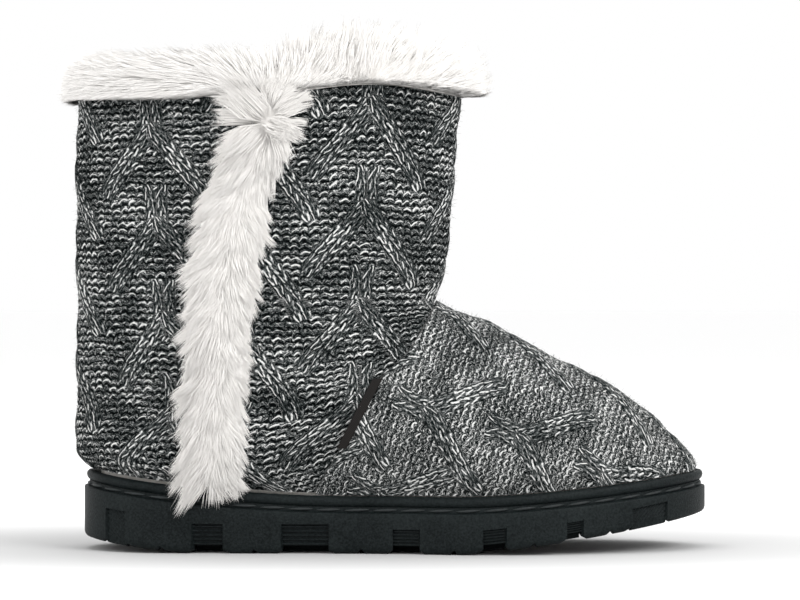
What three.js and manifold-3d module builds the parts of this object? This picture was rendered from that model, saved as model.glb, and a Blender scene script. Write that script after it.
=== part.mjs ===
// A bootie slipper for the right foot: a cable-knit upper on a lugged rubber sole, with a faux-fur
// collar and a faux-fur strip down its outer side. Millimetres, +Z up, toe towards +X, outer side
// towards -Y. Positions are first worked out from the back of the sole, and the finished slipper is
// then moved so that the origin is on the floor under the middle of its box.
import * as THREE from 'three';
import { mergeVertices } from 'three/addons/utils/BufferGeometryUtils.js';
import Module from 'manifold-3d';

const wasm = await Module();
wasm.setup();

// Driving dimensions of the sole
const soleLength = 265;
const ballWidth = 98;
const heelWidth = 74;
const waistWidth = 72;
const toeWidth = 92;
const toeSwing = 7; // how far the tip of the toe lies towards the inner side
const archCut = 3; // how far the waist lies towards the outer side
const soleHeight = 23.8; // top of the rim at the waist
const heelHeight = 34; // top of the rim at the back of the heel
const toeHeight = 33.5; // top of the rim at the tip of the toe
const toeSpring = 15.5;
const heelBevel = 5.5;
const rimHeight = 4.4;
const rimThickness = 3;
const rimSetback = 0.9; // the rim stands this far inside the sidewall
const grooveHeight = 2.4;
const grooveDepth = 2.2;
const edgeRounding = 2;
const floorDepth = 3; // the floor inside the rim lies this far below its top

// Driving dimensions of the tread and of the ribbed recesses in the sidewall
const treadDepth = 3.4;
const treadReach = 14; // how far the gaps between the lugs run in from either side
const recessDepth = 1.8;
const ribHeight = 0.9;
const ribCount = 5;
const vNotchWidth = 3.4;
const vNotchDepth = 2;
const hatchPitch = 1.9;

// Driving dimensions of the upper
const wall = 3.2;
const throatReach = 150; // from the back of the sole to the front of the ankle
const throatHeight = 106;
const throatWidth = 80;
const collarHeight = 190;
const collarWidth = 84;
const collarFlare = 10.5; // the front of the collar lies this far ahead of the throat
const frontCrown = 5; // rise of the top edge over the front panel
const heelOverhang = 3.6; // the knit bulges this far behind the sole
const sideOverhang = 1.2;

// Driving dimensions of the fur, insole and label
const collarFurHeight = 17;
const collarFurOutward = 7;
const collarFurInward = 9;
const collarLockLength = 12;
const collarLockWidth = 17;
const collarLockCount = 10;
const stripWidth = 17;
const stripThickness = 5;
const stripLockLength = 17;
const stripLockWidth = 13;
const stripLockRows = 8;
const lockFlatness = 0.5;
const insoleThickness = 5;
const labelLength = 32;
const labelWidth = 4;
const labelThickness = 0.9;

// Pieces that touch stay this far apart
const clearance = 0.3;

// Flats around the upper
const upperSides = 36;

// Outline of the sole, a row for each station along its length. Shares of the length, of half the
// width named beside them, and of the swing towards the inner side (+) or the outer side (-).
const outlineRows = [
  { at: 0, half: heelWidth / 2, sway: 0 },
  { at: 0.16, half: heelWidth / 2, sway: 0 },
  { at: 0.42, half: waistWidth / 2, sway: -archCut },
  { at: 0.69, half: ballWidth / 2, sway: 0 },
  { at: 0.86, half: toeWidth / 2, sway: toeSwing * 0.45 },
  { at: 1, half: toeWidth / 2, sway: toeSwing },
];
const heelRoundShare = 0.14;
const toeRoundShare = 0.27;

// Rise of the rim and of the underside, as shares of the length where each begins and the power of
// its curve.
const heelRamp = { begins: 0.45, power: 2 };
const toeRamp = { begins: 0.6, power: 1.5 };
const bevelRamp = { begins: 0.19, power: 1.3 };
const springRamp = { begins: 0.6, power: 1.25 };

// The sidewall's ribbed recesses: where each begins and its width, as shares of the sole's length, and
// its height above the underside as a share of the height of the heel's rim.
const recessRows = [
  { begins: 0.042, width: 0.032, height: 0.42, hatched: true },
  { begins: 0.18, width: 0.049, height: 0.36 },
  { begins: 0.321, width: 0.074, height: 0.36 },
  { begins: 0.496, width: 0.042, height: 0.3 },
  { begins: 0.637, width: 0.036, height: 0.28 },
  { begins: 0.768, width: 0.026, height: 0.235 },
  { begins: 0.873, width: 0.057, height: 0.26, hatched: true },
];
const vNotchStations = [0.129, 0.277, 0.446, 0.592, 0.717, 0.839];

// Horizontal sections of the upper, from the seam with the sole (level 0) through the throat (1) to
// the collar (2). forward: share of the way from the throat to the toe. flare: share of the collar's
// flare. bulge: 0 is tucked inside the rim, 1 is the full overhang. girth: share of the way from the
// throat's width to the ball's. oval: 0 is the sole's own outline, 1 an oval. widest: where the oval
// is widest. full: how full the oval's front is.
const upperRows = [
  { level: 0, forward: 1, flare: 0, bulge: 0, girth: 1, oval: 0, widest: 0.62, full: 2.9 },
  { level: 0.045, forward: 1, flare: 0, bulge: 0, girth: 1, oval: 0, widest: 0.62, full: 2.9 },
  { level: 0.09, forward: 0.993, flare: 0, bulge: 0.45, girth: 1, oval: 0, widest: 0.62, full: 2.9 },
  { level: 0.155, forward: 0.967, flare: 0, bulge: 0.85, girth: 1, oval: 0.05, widest: 0.62, full: 2.9 },
  { level: 0.3, forward: 0.886, flare: 0, bulge: 1, girth: 0.85, oval: 0.35, widest: 0.62, full: 2.9 },
  { level: 0.44, forward: 0.79, flare: 0, bulge: 0.97, girth: 0.5, oval: 0.8, widest: 0.6, full: 2.9 },
  { level: 0.57, forward: 0.652, flare: 0, bulge: 0.95, girth: 0.3, oval: 1, widest: 0.54, full: 2.9 },
  { level: 0.69, forward: 0.477, flare: 0, bulge: 0.93, girth: 0.15, oval: 1, widest: 0.48, full: 3 },
  { level: 0.776, forward: 0.348, flare: 0, bulge: 0.92, girth: 0.08, oval: 1, widest: 0.46, full: 2.9 },
  { level: 0.847, forward: 0.25, flare: 0, bulge: 0.92, girth: 0.04, oval: 1, widest: 0.45, full: 2.7 },
  { level: 0.905, forward: 0.165, flare: 0, bulge: 0.92, girth: 0.02, oval: 1, widest: 0.46, full: 2.5 },
  { level: 0.945, forward: 0.06, flare: 0, bulge: 0.92, girth: 0, oval: 1, widest: 0.48, full: 2.4 },
  { level: 1, forward: 0, flare: 0, bulge: 0.92, girth: 0, oval: 1, widest: 0.5, full: 2.35 },
  { level: 1.1, forward: 0, flare: 0.2, bulge: 0.92, girth: 0, oval: 1, widest: 0.5, full: 2.3 },
  { level: 1.22, forward: 0, flare: 0.4, bulge: 0.95, girth: 0, oval: 1, widest: 0.5, full: 2.3 },
  { level: 1.4, forward: 0, flare: 0.58, bulge: 0.98, girth: 0, oval: 1, widest: 0.5, full: 2.3 },
  { level: 1.64, forward: 0, flare: 0.7, bulge: 0.97, girth: 0, oval: 1, widest: 0.5, full: 2.3 },
  { level: 1.84, forward: 0, flare: 0.85, bulge: 0.93, girth: 0, oval: 1, widest: 0.5, full: 2.3 },
  { level: 1.95, forward: 0, flare: 1, bulge: 0.9, girth: 0, oval: 1, widest: 0.5, full: 2.3 },
  { level: 2, forward: 0, flare: 0.97, bulge: 0.9, girth: 0, oval: 1, widest: 0.5, full: 2.3 },
];
const backFullness = 2.3;
const hemLevel = 0.045; // below this level the knit is hidden inside the rim

// Middle line of the fur strip on the outer side: reach is the distance from the back of the sole as
// a share of the throat's reach, and spread its width as a share of the strip's width.
const stripRows = [
  { level: 1.87, reach: 0.54, spread: 0.55 },
  { level: 1.74, reach: 0.515, spread: 0.9 },
  { level: 1.5, reach: 0.455, spread: 1 },
  { level: 1.2, reach: 0.43, spread: 1 },
  { level: 0.9, reach: 0.415, spread: 0.92 },
  { level: 0.6, reach: 0.395, spread: 0.92 },
  { level: 0.34, reach: 0.385, spread: 0.95 },
  { level: 0.09, reach: 0.38, spread: 0.9 },
];

// The label's ends on the seam between shaft and vamp, on the outer side.
const labelEnds = { upper: { level: 0.61, reach: 0.835 }, lower: { level: 0.27, reach: 0.735 } };

// A value from a table's column, smooth between rows and never past them.
function smoothColumn(rows, across, column, x) {
  const last = rows.length - 1;
  if (x <= rows[0][across]) return rows[0][column];
  if (x >= rows[last][across]) return rows[last][column];
  let i = 0;
  while (rows[i + 1][across] < x) i += 1;
  const step = (k) => rows[k + 1][across] - rows[k][across];
  const slope = (k) => (rows[k + 1][column] - rows[k][column]) / step(k);
  const tangent = (k) => {
    if (k === 0 || k === last) return slope(Math.min(k, last - 1));
    const product = slope(k - 1) * slope(k);
    return product <= 0 ? 0 : (2 * product) / (slope(k - 1) + slope(k));
  };
  const t = (x - rows[i][across]) / step(i);
  const rise = rows[i + 1][column] - rows[i][column];
  const bend = step(i) * t * (1 - t) * ((1 - t) * tangent(i) - t * tangent(i + 1));
  return rows[i][column] + rise * t * t * (3 - 2 * t) + bend;
}

const mix = THREE.MathUtils.lerp;

// How much of the width is left near the rounded heel and toe.
function endRounding(share) {
  const heel = Math.max(0, 1 - share / heelRoundShare);
  const toe = Math.max(0, 1 - (1 - share) / toeRoundShare);
  return Math.sqrt(Math.max(0, 1 - heel ** 2)) * Math.sqrt(Math.max(0, 1 - toe ** 2));
}

// Half the sole's width and the sideways place of its middle at a share of its length.
function footHalf(share, inset) {
  return (smoothColumn(outlineRows, 'at', 'half', share) - inset) * endRounding(share);
}

function footMiddle(share) {
  return smoothColumn(outlineRows, 'at', 'sway', share);
}

// The sole's outline, turned by an angle from the heel, over the outer side, to the toe and back.
function outlinePoint(turn, inset) {
  const share = (1 - Math.cos(turn)) / 2;
  const side = Math.sin(turn) > 0 ? -1 : 1;
  const x = inset + share * (soleLength - 2 * inset);
  return new THREE.Vector2(x, footMiddle(share) + side * footHalf(share, inset));
}

function fromHeel(ramp, x) {
  return Math.max(0, 1 - x / soleLength / ramp.begins) ** ramp.power;
}

function fromToe(ramp, x) {
  return Math.max(0, (x / soleLength - ramp.begins) / (1 - ramp.begins)) ** ramp.power;
}

function rimTop(x) {
  const heel = (heelHeight - soleHeight) * fromHeel(heelRamp, Math.max(0, x));
  return soleHeight + heel + (toeHeight - soleHeight) * fromToe(toeRamp, x);
}

function underside(x) {
  return heelBevel * fromHeel(bevelRamp, Math.max(0, x)) + toeSpring * fromToe(springRamp, x);
}

// A closed surface through rings that all have the same number of points. A hoop joins its last ring
// to its first. Otherwise each end is filled across, from each point to the one opposite it.
function skin(rings, hoop = false) {
  const count = rings[0].length;
  const indices = [];
  const quad = (a, b, c, d) => indices.push(a, b, c, a, c, d);
  const bands = hoop ? rings.length : rings.length - 1;
  for (let r = 0; r < bands; r += 1) {
    const low = r * count;
    const high = ((r + 1) % rings.length) * count;
    for (let i = 0; i < count; i += 1) {
      const next = (i + 1) % count;
      quad(low + i, low + next, high + next, high + i);
    }
  }
  if (!hoop) {
    const top = (rings.length - 1) * count;
    for (let i = 0; i < count / 2; i += 1) {
      const mirror = (count - i) % count;
      const before = count - i - 1;
      if (i > 0) indices.push(mirror, i + 1, i, top + i, top + i + 1, top + mirror);
      if (i + 1 !== before) indices.push(mirror, before, i + 1, top + i + 1, top + before, top + mirror);
    }
  }
  const geometry = new THREE.BufferGeometry();
  const positions = rings.flat().flatMap((p) => [p.x, p.y, p.z]);
  geometry.setAttribute('position', new THREE.Float32BufferAttribute(positions, 3));
  geometry.setIndex(indices);
  return geometry;
}

function enclosedVolume(geometry) {
  const position = geometry.getAttribute('position');
  const index = geometry.getIndex();
  const [a, b, c] = [new THREE.Vector3(), new THREE.Vector3(), new THREE.Vector3()];
  let volume = 0;
  for (let i = 0; i < index.count; i += 3) {
    a.fromBufferAttribute(position, index.getX(i));
    b.fromBufferAttribute(position, index.getX(i + 1));
    c.fromBufferAttribute(position, index.getX(i + 2));
    volume += a.dot(b.cross(c)) / 6;
  }
  return volume;
}

// A closed geometry as a solid that can be joined and cut.
function solid(geometry) {
  const bare = new THREE.BufferGeometry();
  bare.setAttribute('position', geometry.getAttribute('position'));
  if (geometry.getIndex()) bare.setIndex(geometry.getIndex());
  const merged = mergeVertices(bare, 1e-4);
  const triVerts = Uint32Array.from(merged.getIndex().array);
  if (enclosedVolume(merged) < 0) triVerts.reverse();
  const vertProperties = Float32Array.from(merged.getAttribute('position').array);
  return new wasm.Manifold(new wasm.Mesh({ numProp: 3, vertProperties, triVerts }));
}

const joined = (solids) => solids.reduce((sum, next) => sum.add(next));
const without = (body, cutters) => cutters.reduce((rest, cutter) => rest.subtract(cutter), body);

// The largest body of a solid, without the crumbs that a cut can leave.
function mainBody(body) {
  return body.decompose().sort((a, b) => b.volume() - a.volume())[0];
}

function meshOf(name, body, material) {
  const { vertProperties, triVerts } = mainBody(body).getMesh();
  const geometry = new THREE.BufferGeometry();
  geometry.setAttribute('position', new THREE.BufferAttribute(vertProperties.slice(), 3));
  geometry.setIndex(new THREE.BufferAttribute(triVerts.slice(), 1));
  geometry.computeVertexNormals();
  const mesh = new THREE.Mesh(geometry, material);
  mesh.name = name;
  return mesh;
}

// The sole without its tread: a cup whose side steps from the sidewall through a stitched groove to
// the rim. Heights are measured up from the underside or down from the rim's top. The rim's inner
// face has the same flats as the upper that stands in it.
function soleCup() {
  const aroundCount = 2 * upperSides;
  const ledge = rimHeight + grooveHeight;
  const profile = [
    { inset: edgeRounding, up: 0 },
    { inset: edgeRounding * 0.3, up: edgeRounding * 0.3 },
    { inset: 0, up: edgeRounding },
    { inset: 0, down: ledge + 0.8 },
    { inset: rimSetback, down: ledge },
    { inset: grooveDepth, down: ledge - 0.3 },
    { inset: grooveDepth, down: rimHeight + 0.3 },
    { inset: rimSetback, down: rimHeight },
    { inset: rimSetback, down: rimHeight * 0.3 },
    { inset: rimSetback * 1.8, down: 0 },
    { inset: rimThickness, down: 0, flats: true },
    { inset: rimThickness, down: floorDepth, flats: true },
  ];
  const corner = (i, inset) => outlinePoint((i / aroundCount) * 2 * Math.PI, inset);
  const rings = profile.map((row) => Array.from({ length: aroundCount }, (_, i) => {
    const place = corner(i, row.inset);
    if (row.flats && i % 2 === 1) place.lerpVectors(corner(i - 1, row.inset), corner(i + 1, row.inset), 0.5);
    const z = row.up === undefined ? rimTop(place.x) - row.down : underside(place.x) + row.up;
    return new THREE.Vector3(place.x, place.y, z);
  }));
  return solid(skin(rings));
}

// How far a cutter reaches past the face that it cuts
const cutReach = 8;

// A prism whose outline is drawn outward and up from the sidewall, and which runs along the wall.
function sidePrism(outline, turn, width) {
  const step = 0.01;
  const place = outlinePoint(turn, 0);
  const ahead = outlinePoint(turn + step, 0);
  const behind = outlinePoint(turn - step, 0);
  const rise = underside(ahead.x) - underside(behind.x);
  const along = new THREE.Vector3(ahead.x - behind.x, ahead.y - behind.y, rise).normalize();
  const outward = new THREE.Vector3(along.y, -along.x, 0).normalize();
  const upward = new THREE.Vector3().crossVectors(along, outward).normalize();
  if (upward.z < 0) upward.negate();
  const across = new THREE.Vector3().crossVectors(outward, upward);
  const axes = new THREE.Matrix4().makeBasis(outward, upward, across);
  const prism = new THREE.ExtrudeGeometry(new THREE.Shape(outline), { depth: width, bevelEnabled: false });
  prism.translate(0, 0, -width / 2);
  prism.applyMatrix4(axes);
  prism.translate(place.x, place.y, underside(place.x));
  return solid(prism);
}

// The turn at which the sole's outline reaches a share of its length, on the outer or inner side.
function turnAt(share, side) {
  const turn = Math.acos(1 - 2 * share);
  return side < 0 ? turn : 2 * Math.PI - turn;
}

// The side view of a recess, with its ribs standing out from the back of it.
function ribbedOutline(height) {
  const points = [new THREE.Vector2(cutReach, -cutReach), new THREE.Vector2(-recessDepth, -cutReach)];
  const pitch = (height - treadDepth) / ribCount;
  for (let i = 0; i < ribCount; i += 1) {
    const foot = treadDepth + pitch * i;
    points.push(new THREE.Vector2(-recessDepth, foot + pitch * 0.15));
    points.push(new THREE.Vector2(-recessDepth + ribHeight, foot + pitch * 0.3));
    points.push(new THREE.Vector2(-recessDepth + ribHeight, foot + pitch * 0.6));
    points.push(new THREE.Vector2(-recessDepth, foot + pitch * 0.75));
  }
  points.push(new THREE.Vector2(-recessDepth, height), new THREE.Vector2(cutReach, height));
  return points;
}

function plainOutline(height) {
  return [
    new THREE.Vector2(cutReach, -cutReach),
    new THREE.Vector2(-recessDepth * 0.6, -cutReach),
    new THREE.Vector2(-recessDepth * 0.6, height),
    new THREE.Vector2(cutReach, height),
  ];
}

// Slanting saw cuts across a hatched recess at the heel and toe.
function hatchCuts(turn, width, height) {
  const cuts = [];
  const depth = recessDepth * 0.6 + ribHeight * 0.6;
  const halfCut = hatchPitch * 0.28;
  const rows = Math.floor((height - treadDepth) / hatchPitch);
  for (let i = 0; i < rows; i += 1) {
    const z = treadDepth + hatchPitch * (i + 0.5);
    const groove = [
      new THREE.Vector2(1, z - halfCut),
      new THREE.Vector2(-depth, z),
      new THREE.Vector2(1, z + halfCut),
    ];
    cuts.push(sidePrism(groove, turn, width));
  }
  return cuts;
}

// A gap between two lugs, open to the side and underneath.
function lugGap(turn, width) {
  return sidePrism([
    new THREE.Vector2(cutReach, -cutReach),
    new THREE.Vector2(-treadReach, -cutReach),
    new THREE.Vector2(-treadReach, treadDepth),
    new THREE.Vector2(cutReach, treadDepth),
  ], turn, width);
}

function treadCutters() {
  const crossLength = ballWidth * 1.3;
  const cutters = [];
  for (const row of recessRows) {
    const middle = row.begins + row.width / 2;
    const width = row.width * soleLength;
    const height = row.height * heelHeight;
    for (const side of [-1, 1]) {
      const turn = turnAt(middle, side);
      const outline = row.hatched ? plainOutline(height) : ribbedOutline(height);
      cutters.push(sidePrism(outline, turn, width));
      cutters.push(...(row.hatched ? hatchCuts(turn, width * 0.96, height) : [lugGap(turn, width)]));
    }
  }
  for (const share of vNotchStations) {
    const x = share * soleLength;
    const notch = new THREE.Shape([
      new THREE.Vector2(-vNotchWidth / 2, -1),
      new THREE.Vector2(vNotchWidth / 2, -1),
      new THREE.Vector2(0, vNotchDepth),
    ]);
    const groove = new THREE.ExtrudeGeometry(notch, { depth: crossLength, bevelEnabled: false });
    groove.translate(0, 0, -crossLength / 2);
    groove.rotateX(Math.PI / 2);
    groove.translate(x, 0, underside(x));
    cutters.push(solid(groove));
  }
  return cutters;
}

// One point of the upper's outer face, pushed out along its normal by grow.
function facePoint(level, turn) {
  const row = (column) => smoothColumn(upperRows, 'level', column, level);
  const share = (1 - Math.cos(turn)) / 2;
  const side = Math.sin(turn) > 0 ? -1 : 1;
  const tuck = rimThickness + clearance;
  const back = mix(tuck, -heelOverhang, row('bulge'));
  const front = mix(throatReach, soleLength - tuck, row('forward')) + collarFlare * row('flare');
  const x = mix(back, front, share);

  const inset = mix(tuck, -sideOverhang, row('bulge'));
  const taper = mix(throatWidth, collarWidth, Math.max(0, level - 1)) / 2;
  const half = mix(taper, ballWidth / 2, row('girth'));
  const widest = row('widest');
  const rear = 1 - Math.max(0, 1 - share / widest) ** backFullness;
  const fore = 1 - Math.max(0, (share - widest) / (1 - widest)) ** row('full');
  const oval = half * Math.sqrt(Math.max(0, rear * fore));
  const lean = (toeSwing * Math.max(0, x / soleLength - 0.5)) / 0.5;

  const y = mix(footMiddle(share), lean, row('oval')) + side * mix(footHalf(share, inset), oval, row('oval'));
  return new THREE.Vector3(x, y, faceHeight(level, x, share));
}

// The height of a level: it follows the sole's floor low down and the collar's line at the top.
function faceHeight(level, x, share) {
  const seam = soleHeight - floorDepth + clearance;
  const fade = (1 - Math.max(level, hemLevel)) / (1 - hemLevel);
  const low = (rimTop(Math.min(x, soleLength)) - soleHeight) * Math.max(0, fade) ** 3;
  if (level < 1) return mix(seam, throatHeight, level) + low;
  const crown = frontCrown * Math.exp(-(((share - 0.78) / 0.2) ** 2));
  return mix(throatHeight, collarHeight, level - 1) + crown * (level - 1) ** 2;
}

function faceNormal(level, turn) {
  const step = 0.004;
  const up = facePoint(Math.min(2, level + step), turn).sub(facePoint(Math.max(0, level - step), turn));
  const round = facePoint(level, turn + step).sub(facePoint(level, turn - step));
  return new THREE.Vector3().crossVectors(round, up).normalize();
}

function offFace(level, turn, distance) {
  return facePoint(level, turn).addScaledVector(faceNormal(level, turn), distance);
}

// The turn on the outer side at which a level reaches a distance from the back of the sole.
function outerTurn(level, x) {
  const back = facePoint(level, 0).x;
  const front = facePoint(level, Math.PI).x;
  return Math.acos(1 - (2 * (x - back)) / (front - back));
}

const faceLevels = [
  0, hemLevel, 0.1, 0.17, 0.27, 0.36, 0.45, 0.54, 0.62, 0.69, 0.75, 0.805, 0.85, 0.89, 0.925, 0.96,
  1, 1.07, 1.17, 1.32, 1.55, 1.8, 2,
];

// The upper as one hollow wall, open at the collar and underneath. grow thickens it on every side.
function upperWall(grow = 0) {
  const ring = (level, distance, drop) => Array.from({ length: upperSides }, (_, i) => {
    const turn = (i / upperSides) * 2 * Math.PI;
    const place = offFace(level, turn, distance);
    if (level === 0 || level === 2) place.z = facePoint(level, turn).z;
    place.z += drop;
    return place;
  });
  const lift = (level) => (level === 2 ? grow : 0) - (level === 0 ? grow : 0);
  const outer = faceLevels.map((level) => ring(level, grow, lift(level)));
  const inner = faceLevels.map((level) => ring(level, -wall - grow, lift(level))).reverse();
  return solid(skin([...outer, ...inner], true));
}

// A pointed lock of fur: a flat four-sided horn. It starts at its root, points along its direction and
// is widest across the surface whose normal is given.
function furLock(root, direction, normal, width, length) {
  const sides = 4;
  const along = direction.clone().normalize();
  const across = new THREE.Vector3().crossVectors(normal, along).normalize();
  const through = new THREE.Vector3().crossVectors(along, across);
  const spine = [{ at: 0, size: 1 }, { at: 1, size: 0.14 }];
  const rings = spine.map((row) => Array.from({ length: sides }, (_, i) => {
    const angle = (i / sides) * 2 * Math.PI;
    return root.clone()
      .addScaledVector(along, row.at * length)
      .addScaledVector(across, Math.cos(angle) * row.size * (width / 2))
      .addScaledVector(through, Math.sin(angle) * row.size * (width / 2) * lockFlatness);
  }));
  return solid(skin(rings));
}

// A repeatable value between -1 and 1 for each lock, and where the two furs' values start.
const wobble = (n) => Math.sin(n * 12.9898 + 4.1) * Math.cos(n * 4.1414);
const collarSeed = 77;
const stripSeed = 200;

// The collar's roll of fur, which sits astride the top edge of the upper. Each row of its section
// lies out or in from the edge and up from it, as shares of the fur's sizes, and is ruffled by a
// share of them from one station to the next. edge rows follow the top of the knit instead.
const collarSection = [
  { inward: 1, up: -0.35, ruffle: 0 },
  { inward: 1.1, up: 0.2, ruffle: 0.25 },
  { inward: 0.75, up: 0.75, ruffle: 0.3 },
  { inward: 0.1, up: 1, ruffle: 0.22 },
  { outward: 0.45, up: 0.9, ruffle: 0.3 },
  { outward: 1, up: 0.55, ruffle: 0.35 },
  { outward: 1.05, up: 0.1, ruffle: 0.35 },
  { outward: 0.6, up: -0.25, ruffle: 0.3 },
  { edge: 0, up: -0.22 },
  { edge: 0 },
  { edge: 1 },
  { edge: 1, up: -0.35 },
];
const collarLockRows = [
  { out: -0.6, up: 0.55, tilt: -0.45, rise: 0.9, length: 1 },
  { out: 0.25, up: 0.6, tilt: 0.3, rise: 1, length: 1 },
  { out: 0.5, up: 0.4, tilt: 1, rise: 0.6, length: 0.75 },
  { out: 0.5, up: 0.15, tilt: 1, rise: -0.6, length: 0.7 },
];

function furCollar(grow = 0) {
  const gap = clearance - grow;
  const rings = collarSection.map((row, rank) => Array.from({ length: upperSides }, (_, i) => {
    const turn = (i / upperSides) * 2 * Math.PI;
    const top = facePoint(2, turn);
    const outward = faceNormal(2, turn).setZ(0).normalize();
    const ruffle = 1 + (row.ruffle ?? 0) * wobble(i * 5 + rank);
    let distance = row.edge === 0 ? gap : -wall - gap;
    if (row.outward !== undefined) distance = clearance + row.outward * ruffle * collarFurOutward + grow;
    if (row.inward !== undefined) distance = -wall - row.inward * ruffle * collarFurInward - grow;
    const rise = row.up === undefined ? gap : row.up * ruffle * (collarFurHeight + grow);
    const place = top.addScaledVector(outward, distance);
    return place.setZ(place.z + rise);
  }));
  const locks = [];
  collarLockRows.forEach((row, rank) => {
    for (let i = 0; i < collarLockCount; i += 1) {
      const seed = i * collarLockRows.length + rank + collarSeed;
      const turn = ((i + 0.25 * rank + 0.2 * wobble(seed)) / collarLockCount) * 2 * Math.PI;
      const root = facePoint(2, turn);
      const outward = faceNormal(2, turn).setZ(0).normalize();
      const around = new THREE.Vector3(-outward.y, outward.x, 0);
      const reach = row.out < 0 ? row.out * collarFurInward - wall : row.out * collarFurOutward;
      root.addScaledVector(outward, reach).setZ(root.z + row.up * collarFurHeight);
      const direction = outward.clone().multiplyScalar(row.tilt);
      direction.addScaledVector(around, 0.5 * wobble(seed + 7)).z += row.rise;
      const normal = outward.clone().multiplyScalar(row.rise).setZ(-row.tilt);
      const length = collarLockLength * row.length * (1 + 0.15 * wobble(seed + 3));
      locks.push(furLock(root, direction, normal, collarLockWidth + 2 * grow, length + grow));
    }
  });
  const roll = joined([solid(skin(rings, true)), ...locks]);
  return grow > 0 ? roll : roll.subtract(upperWall(clearance));
}

// The strip's pad on the outer side, and its locks: they part along its middle and hang down.
const stripSection = [
  { side: -0.5, off: 0 }, { side: -0.4, off: 0.65 }, { side: -0.12, off: 1 }, { side: 0.12, off: 1 },
  { side: 0.4, off: 0.65 }, { side: 0.5, off: 0 },
];
const stripLockColumns = [
  { side: -0.34, tilt: -0.6, fall: -0.9 },
  { side: 0, tilt: -0.1, fall: -1 },
  { side: 0.34, tilt: 0.5, fall: -0.9 },
];

function stripStation(share) {
  const level = mix(stripRows[0].level, stripRows[stripRows.length - 1].level, share);
  const upwards = [...stripRows].reverse();
  const x = throatReach * smoothColumn(upwards, 'level', 'reach', level);
  return { level, x, width: stripWidth * smoothColumn(upwards, 'level', 'spread', level) };
}

function onStrip(station, sideways, distance) {
  const turn = outerTurn(station.level, station.x + sideways * station.width);
  return offFace(station.level, turn, distance);
}

function furStrip() {
  const stations = 11;
  const rings = Array.from({ length: stations }, (_, i) => {
    const station = stripStation(i / (stations - 1));
    return stripSection.map((row) => onStrip(station, row.side, clearance * 1.2 + row.off * stripThickness));
  });
  const locks = [];
  for (let i = 0; i < stripLockRows; i += 1) {
    stripLockColumns.forEach((column, rank) => {
      const seed = i * stripLockColumns.length + rank + stripSeed;
      const station = stripStation((i + 0.25 + 0.25 * rank) / stripLockRows);
      const root = onStrip(station, column.side, stripThickness * 0.55);
      const normal = faceNormal(station.level, outerTurn(station.level, station.x));
      const tilt = column.tilt + 0.25 * wobble(seed);
      const direction = new THREE.Vector3(tilt, 0, column.fall + 0.15 * wobble(seed + 5));
      direction.addScaledVector(normal, 0.3);
      const length = stripLockLength * (0.95 + 0.15 * wobble(seed + 11));
      locks.push(furLock(root, direction, normal, stripLockWidth, length));
    });
  }
  const around = 2 * upperSides;
  const soleOutline = (z) => Array.from({ length: around }, (_, i) => {
    const place = outlinePoint((i / around) * 2 * Math.PI, -clearance);
    return new THREE.Vector3(place.x, place.y, Math.min(z, rimTop(place.x) + clearance));
  });
  const sole = solid(skin([soleOutline(-cutReach), soleOutline(heelHeight)]));
  const strip = joined([solid(skin(rings)), ...locks]);
  return without(strip, [upperWall(clearance), furCollar(clearance), sole]);
}

// The footbed, which lies on the sole's floor inside the upper.
function insole() {
  const aroundCount = 36;
  const inset = rimThickness + wall + clearance * 3;
  const profile = [
    { inset: inset, up: clearance },
    { inset: inset, up: clearance + insoleThickness * 0.75 },
    { inset: inset + 1.5, up: clearance + insoleThickness },
  ];
  const rings = profile.map((row) => Array.from({ length: aroundCount }, (_, i) => {
    const place = outlinePoint((i / aroundCount) * 2 * Math.PI, row.inset);
    return new THREE.Vector3(place.x, place.y, rimTop(place.x) - floorDepth + row.up);
  }));
  return without(solid(skin(rings)), [upperWall(clearance)]);
}

// The woven tab that is sewn into the seam and lies on the knit.
function label() {
  const steps = 6;
  const { upper, lower } = labelEnds;
  const place = (share, sideways) => {
    const level = mix(upper.level, lower.level, share);
    const x = throatReach * mix(upper.reach, lower.reach, share) + sideways;
    return { level, turn: outerTurn(level, x) };
  };
  const top = facePoint(place(0, 0).level, place(0, 0).turn);
  const bottom = facePoint(place(1, 0).level, place(1, 0).turn);
  const scale = labelLength / top.distanceTo(bottom);
  const corners = [
    { side: -0.5, off: 0 }, { side: -0.5, off: 1 }, { side: 0.5, off: 1 }, { side: 0.5, off: 0 },
  ];
  const rings = Array.from({ length: steps + 1 }, (_, i) => {
    const share = (1 - scale) / 2 + (i / steps) * scale;
    return corners.map((corner) => {
      const spot = place(share, corner.side * labelWidth);
      return offFace(spot.level, spot.turn, clearance * 1.5 + corner.off * labelThickness);
    });
  });
  return without(solid(skin(rings)), [upperWall(clearance)]);
}

const rubber = new THREE.MeshStandardMaterial({ color: '#2b3333', roughness: 0.62, metalness: 0 });
const knit = new THREE.MeshStandardMaterial({ color: '#5c6161', roughness: 0.95, metalness: 0 });
const fur = new THREE.MeshStandardMaterial({ color: '#eae6e0', roughness: 0.9, metalness: 0 });
const fleece = new THREE.MeshStandardMaterial({ color: '#e4dfd8', roughness: 0.95, metalness: 0 });
const ribbon = new THREE.MeshStandardMaterial({ color: '#2a2726', roughness: 0.8, metalness: 0 });

const bootie = new THREE.Group();
bootie.add(
  meshOf('outsole', without(soleCup(), treadCutters()), rubber),
  meshOf('insole', insole(), fleece),
  meshOf('knit_upper', upperWall(), knit),
  meshOf('fur_collar', furCollar(), fur),
  meshOf('fur_side_strip', furStrip(), fur),
  meshOf('seam_label', label(), ribbon),
);

const bounds = new THREE.Box3().setFromObject(bootie);
const middle = bounds.getCenter(new THREE.Vector3());
bootie.position.set(-middle.x, -middle.y, -bounds.min.z);

export default bootie;
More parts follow.
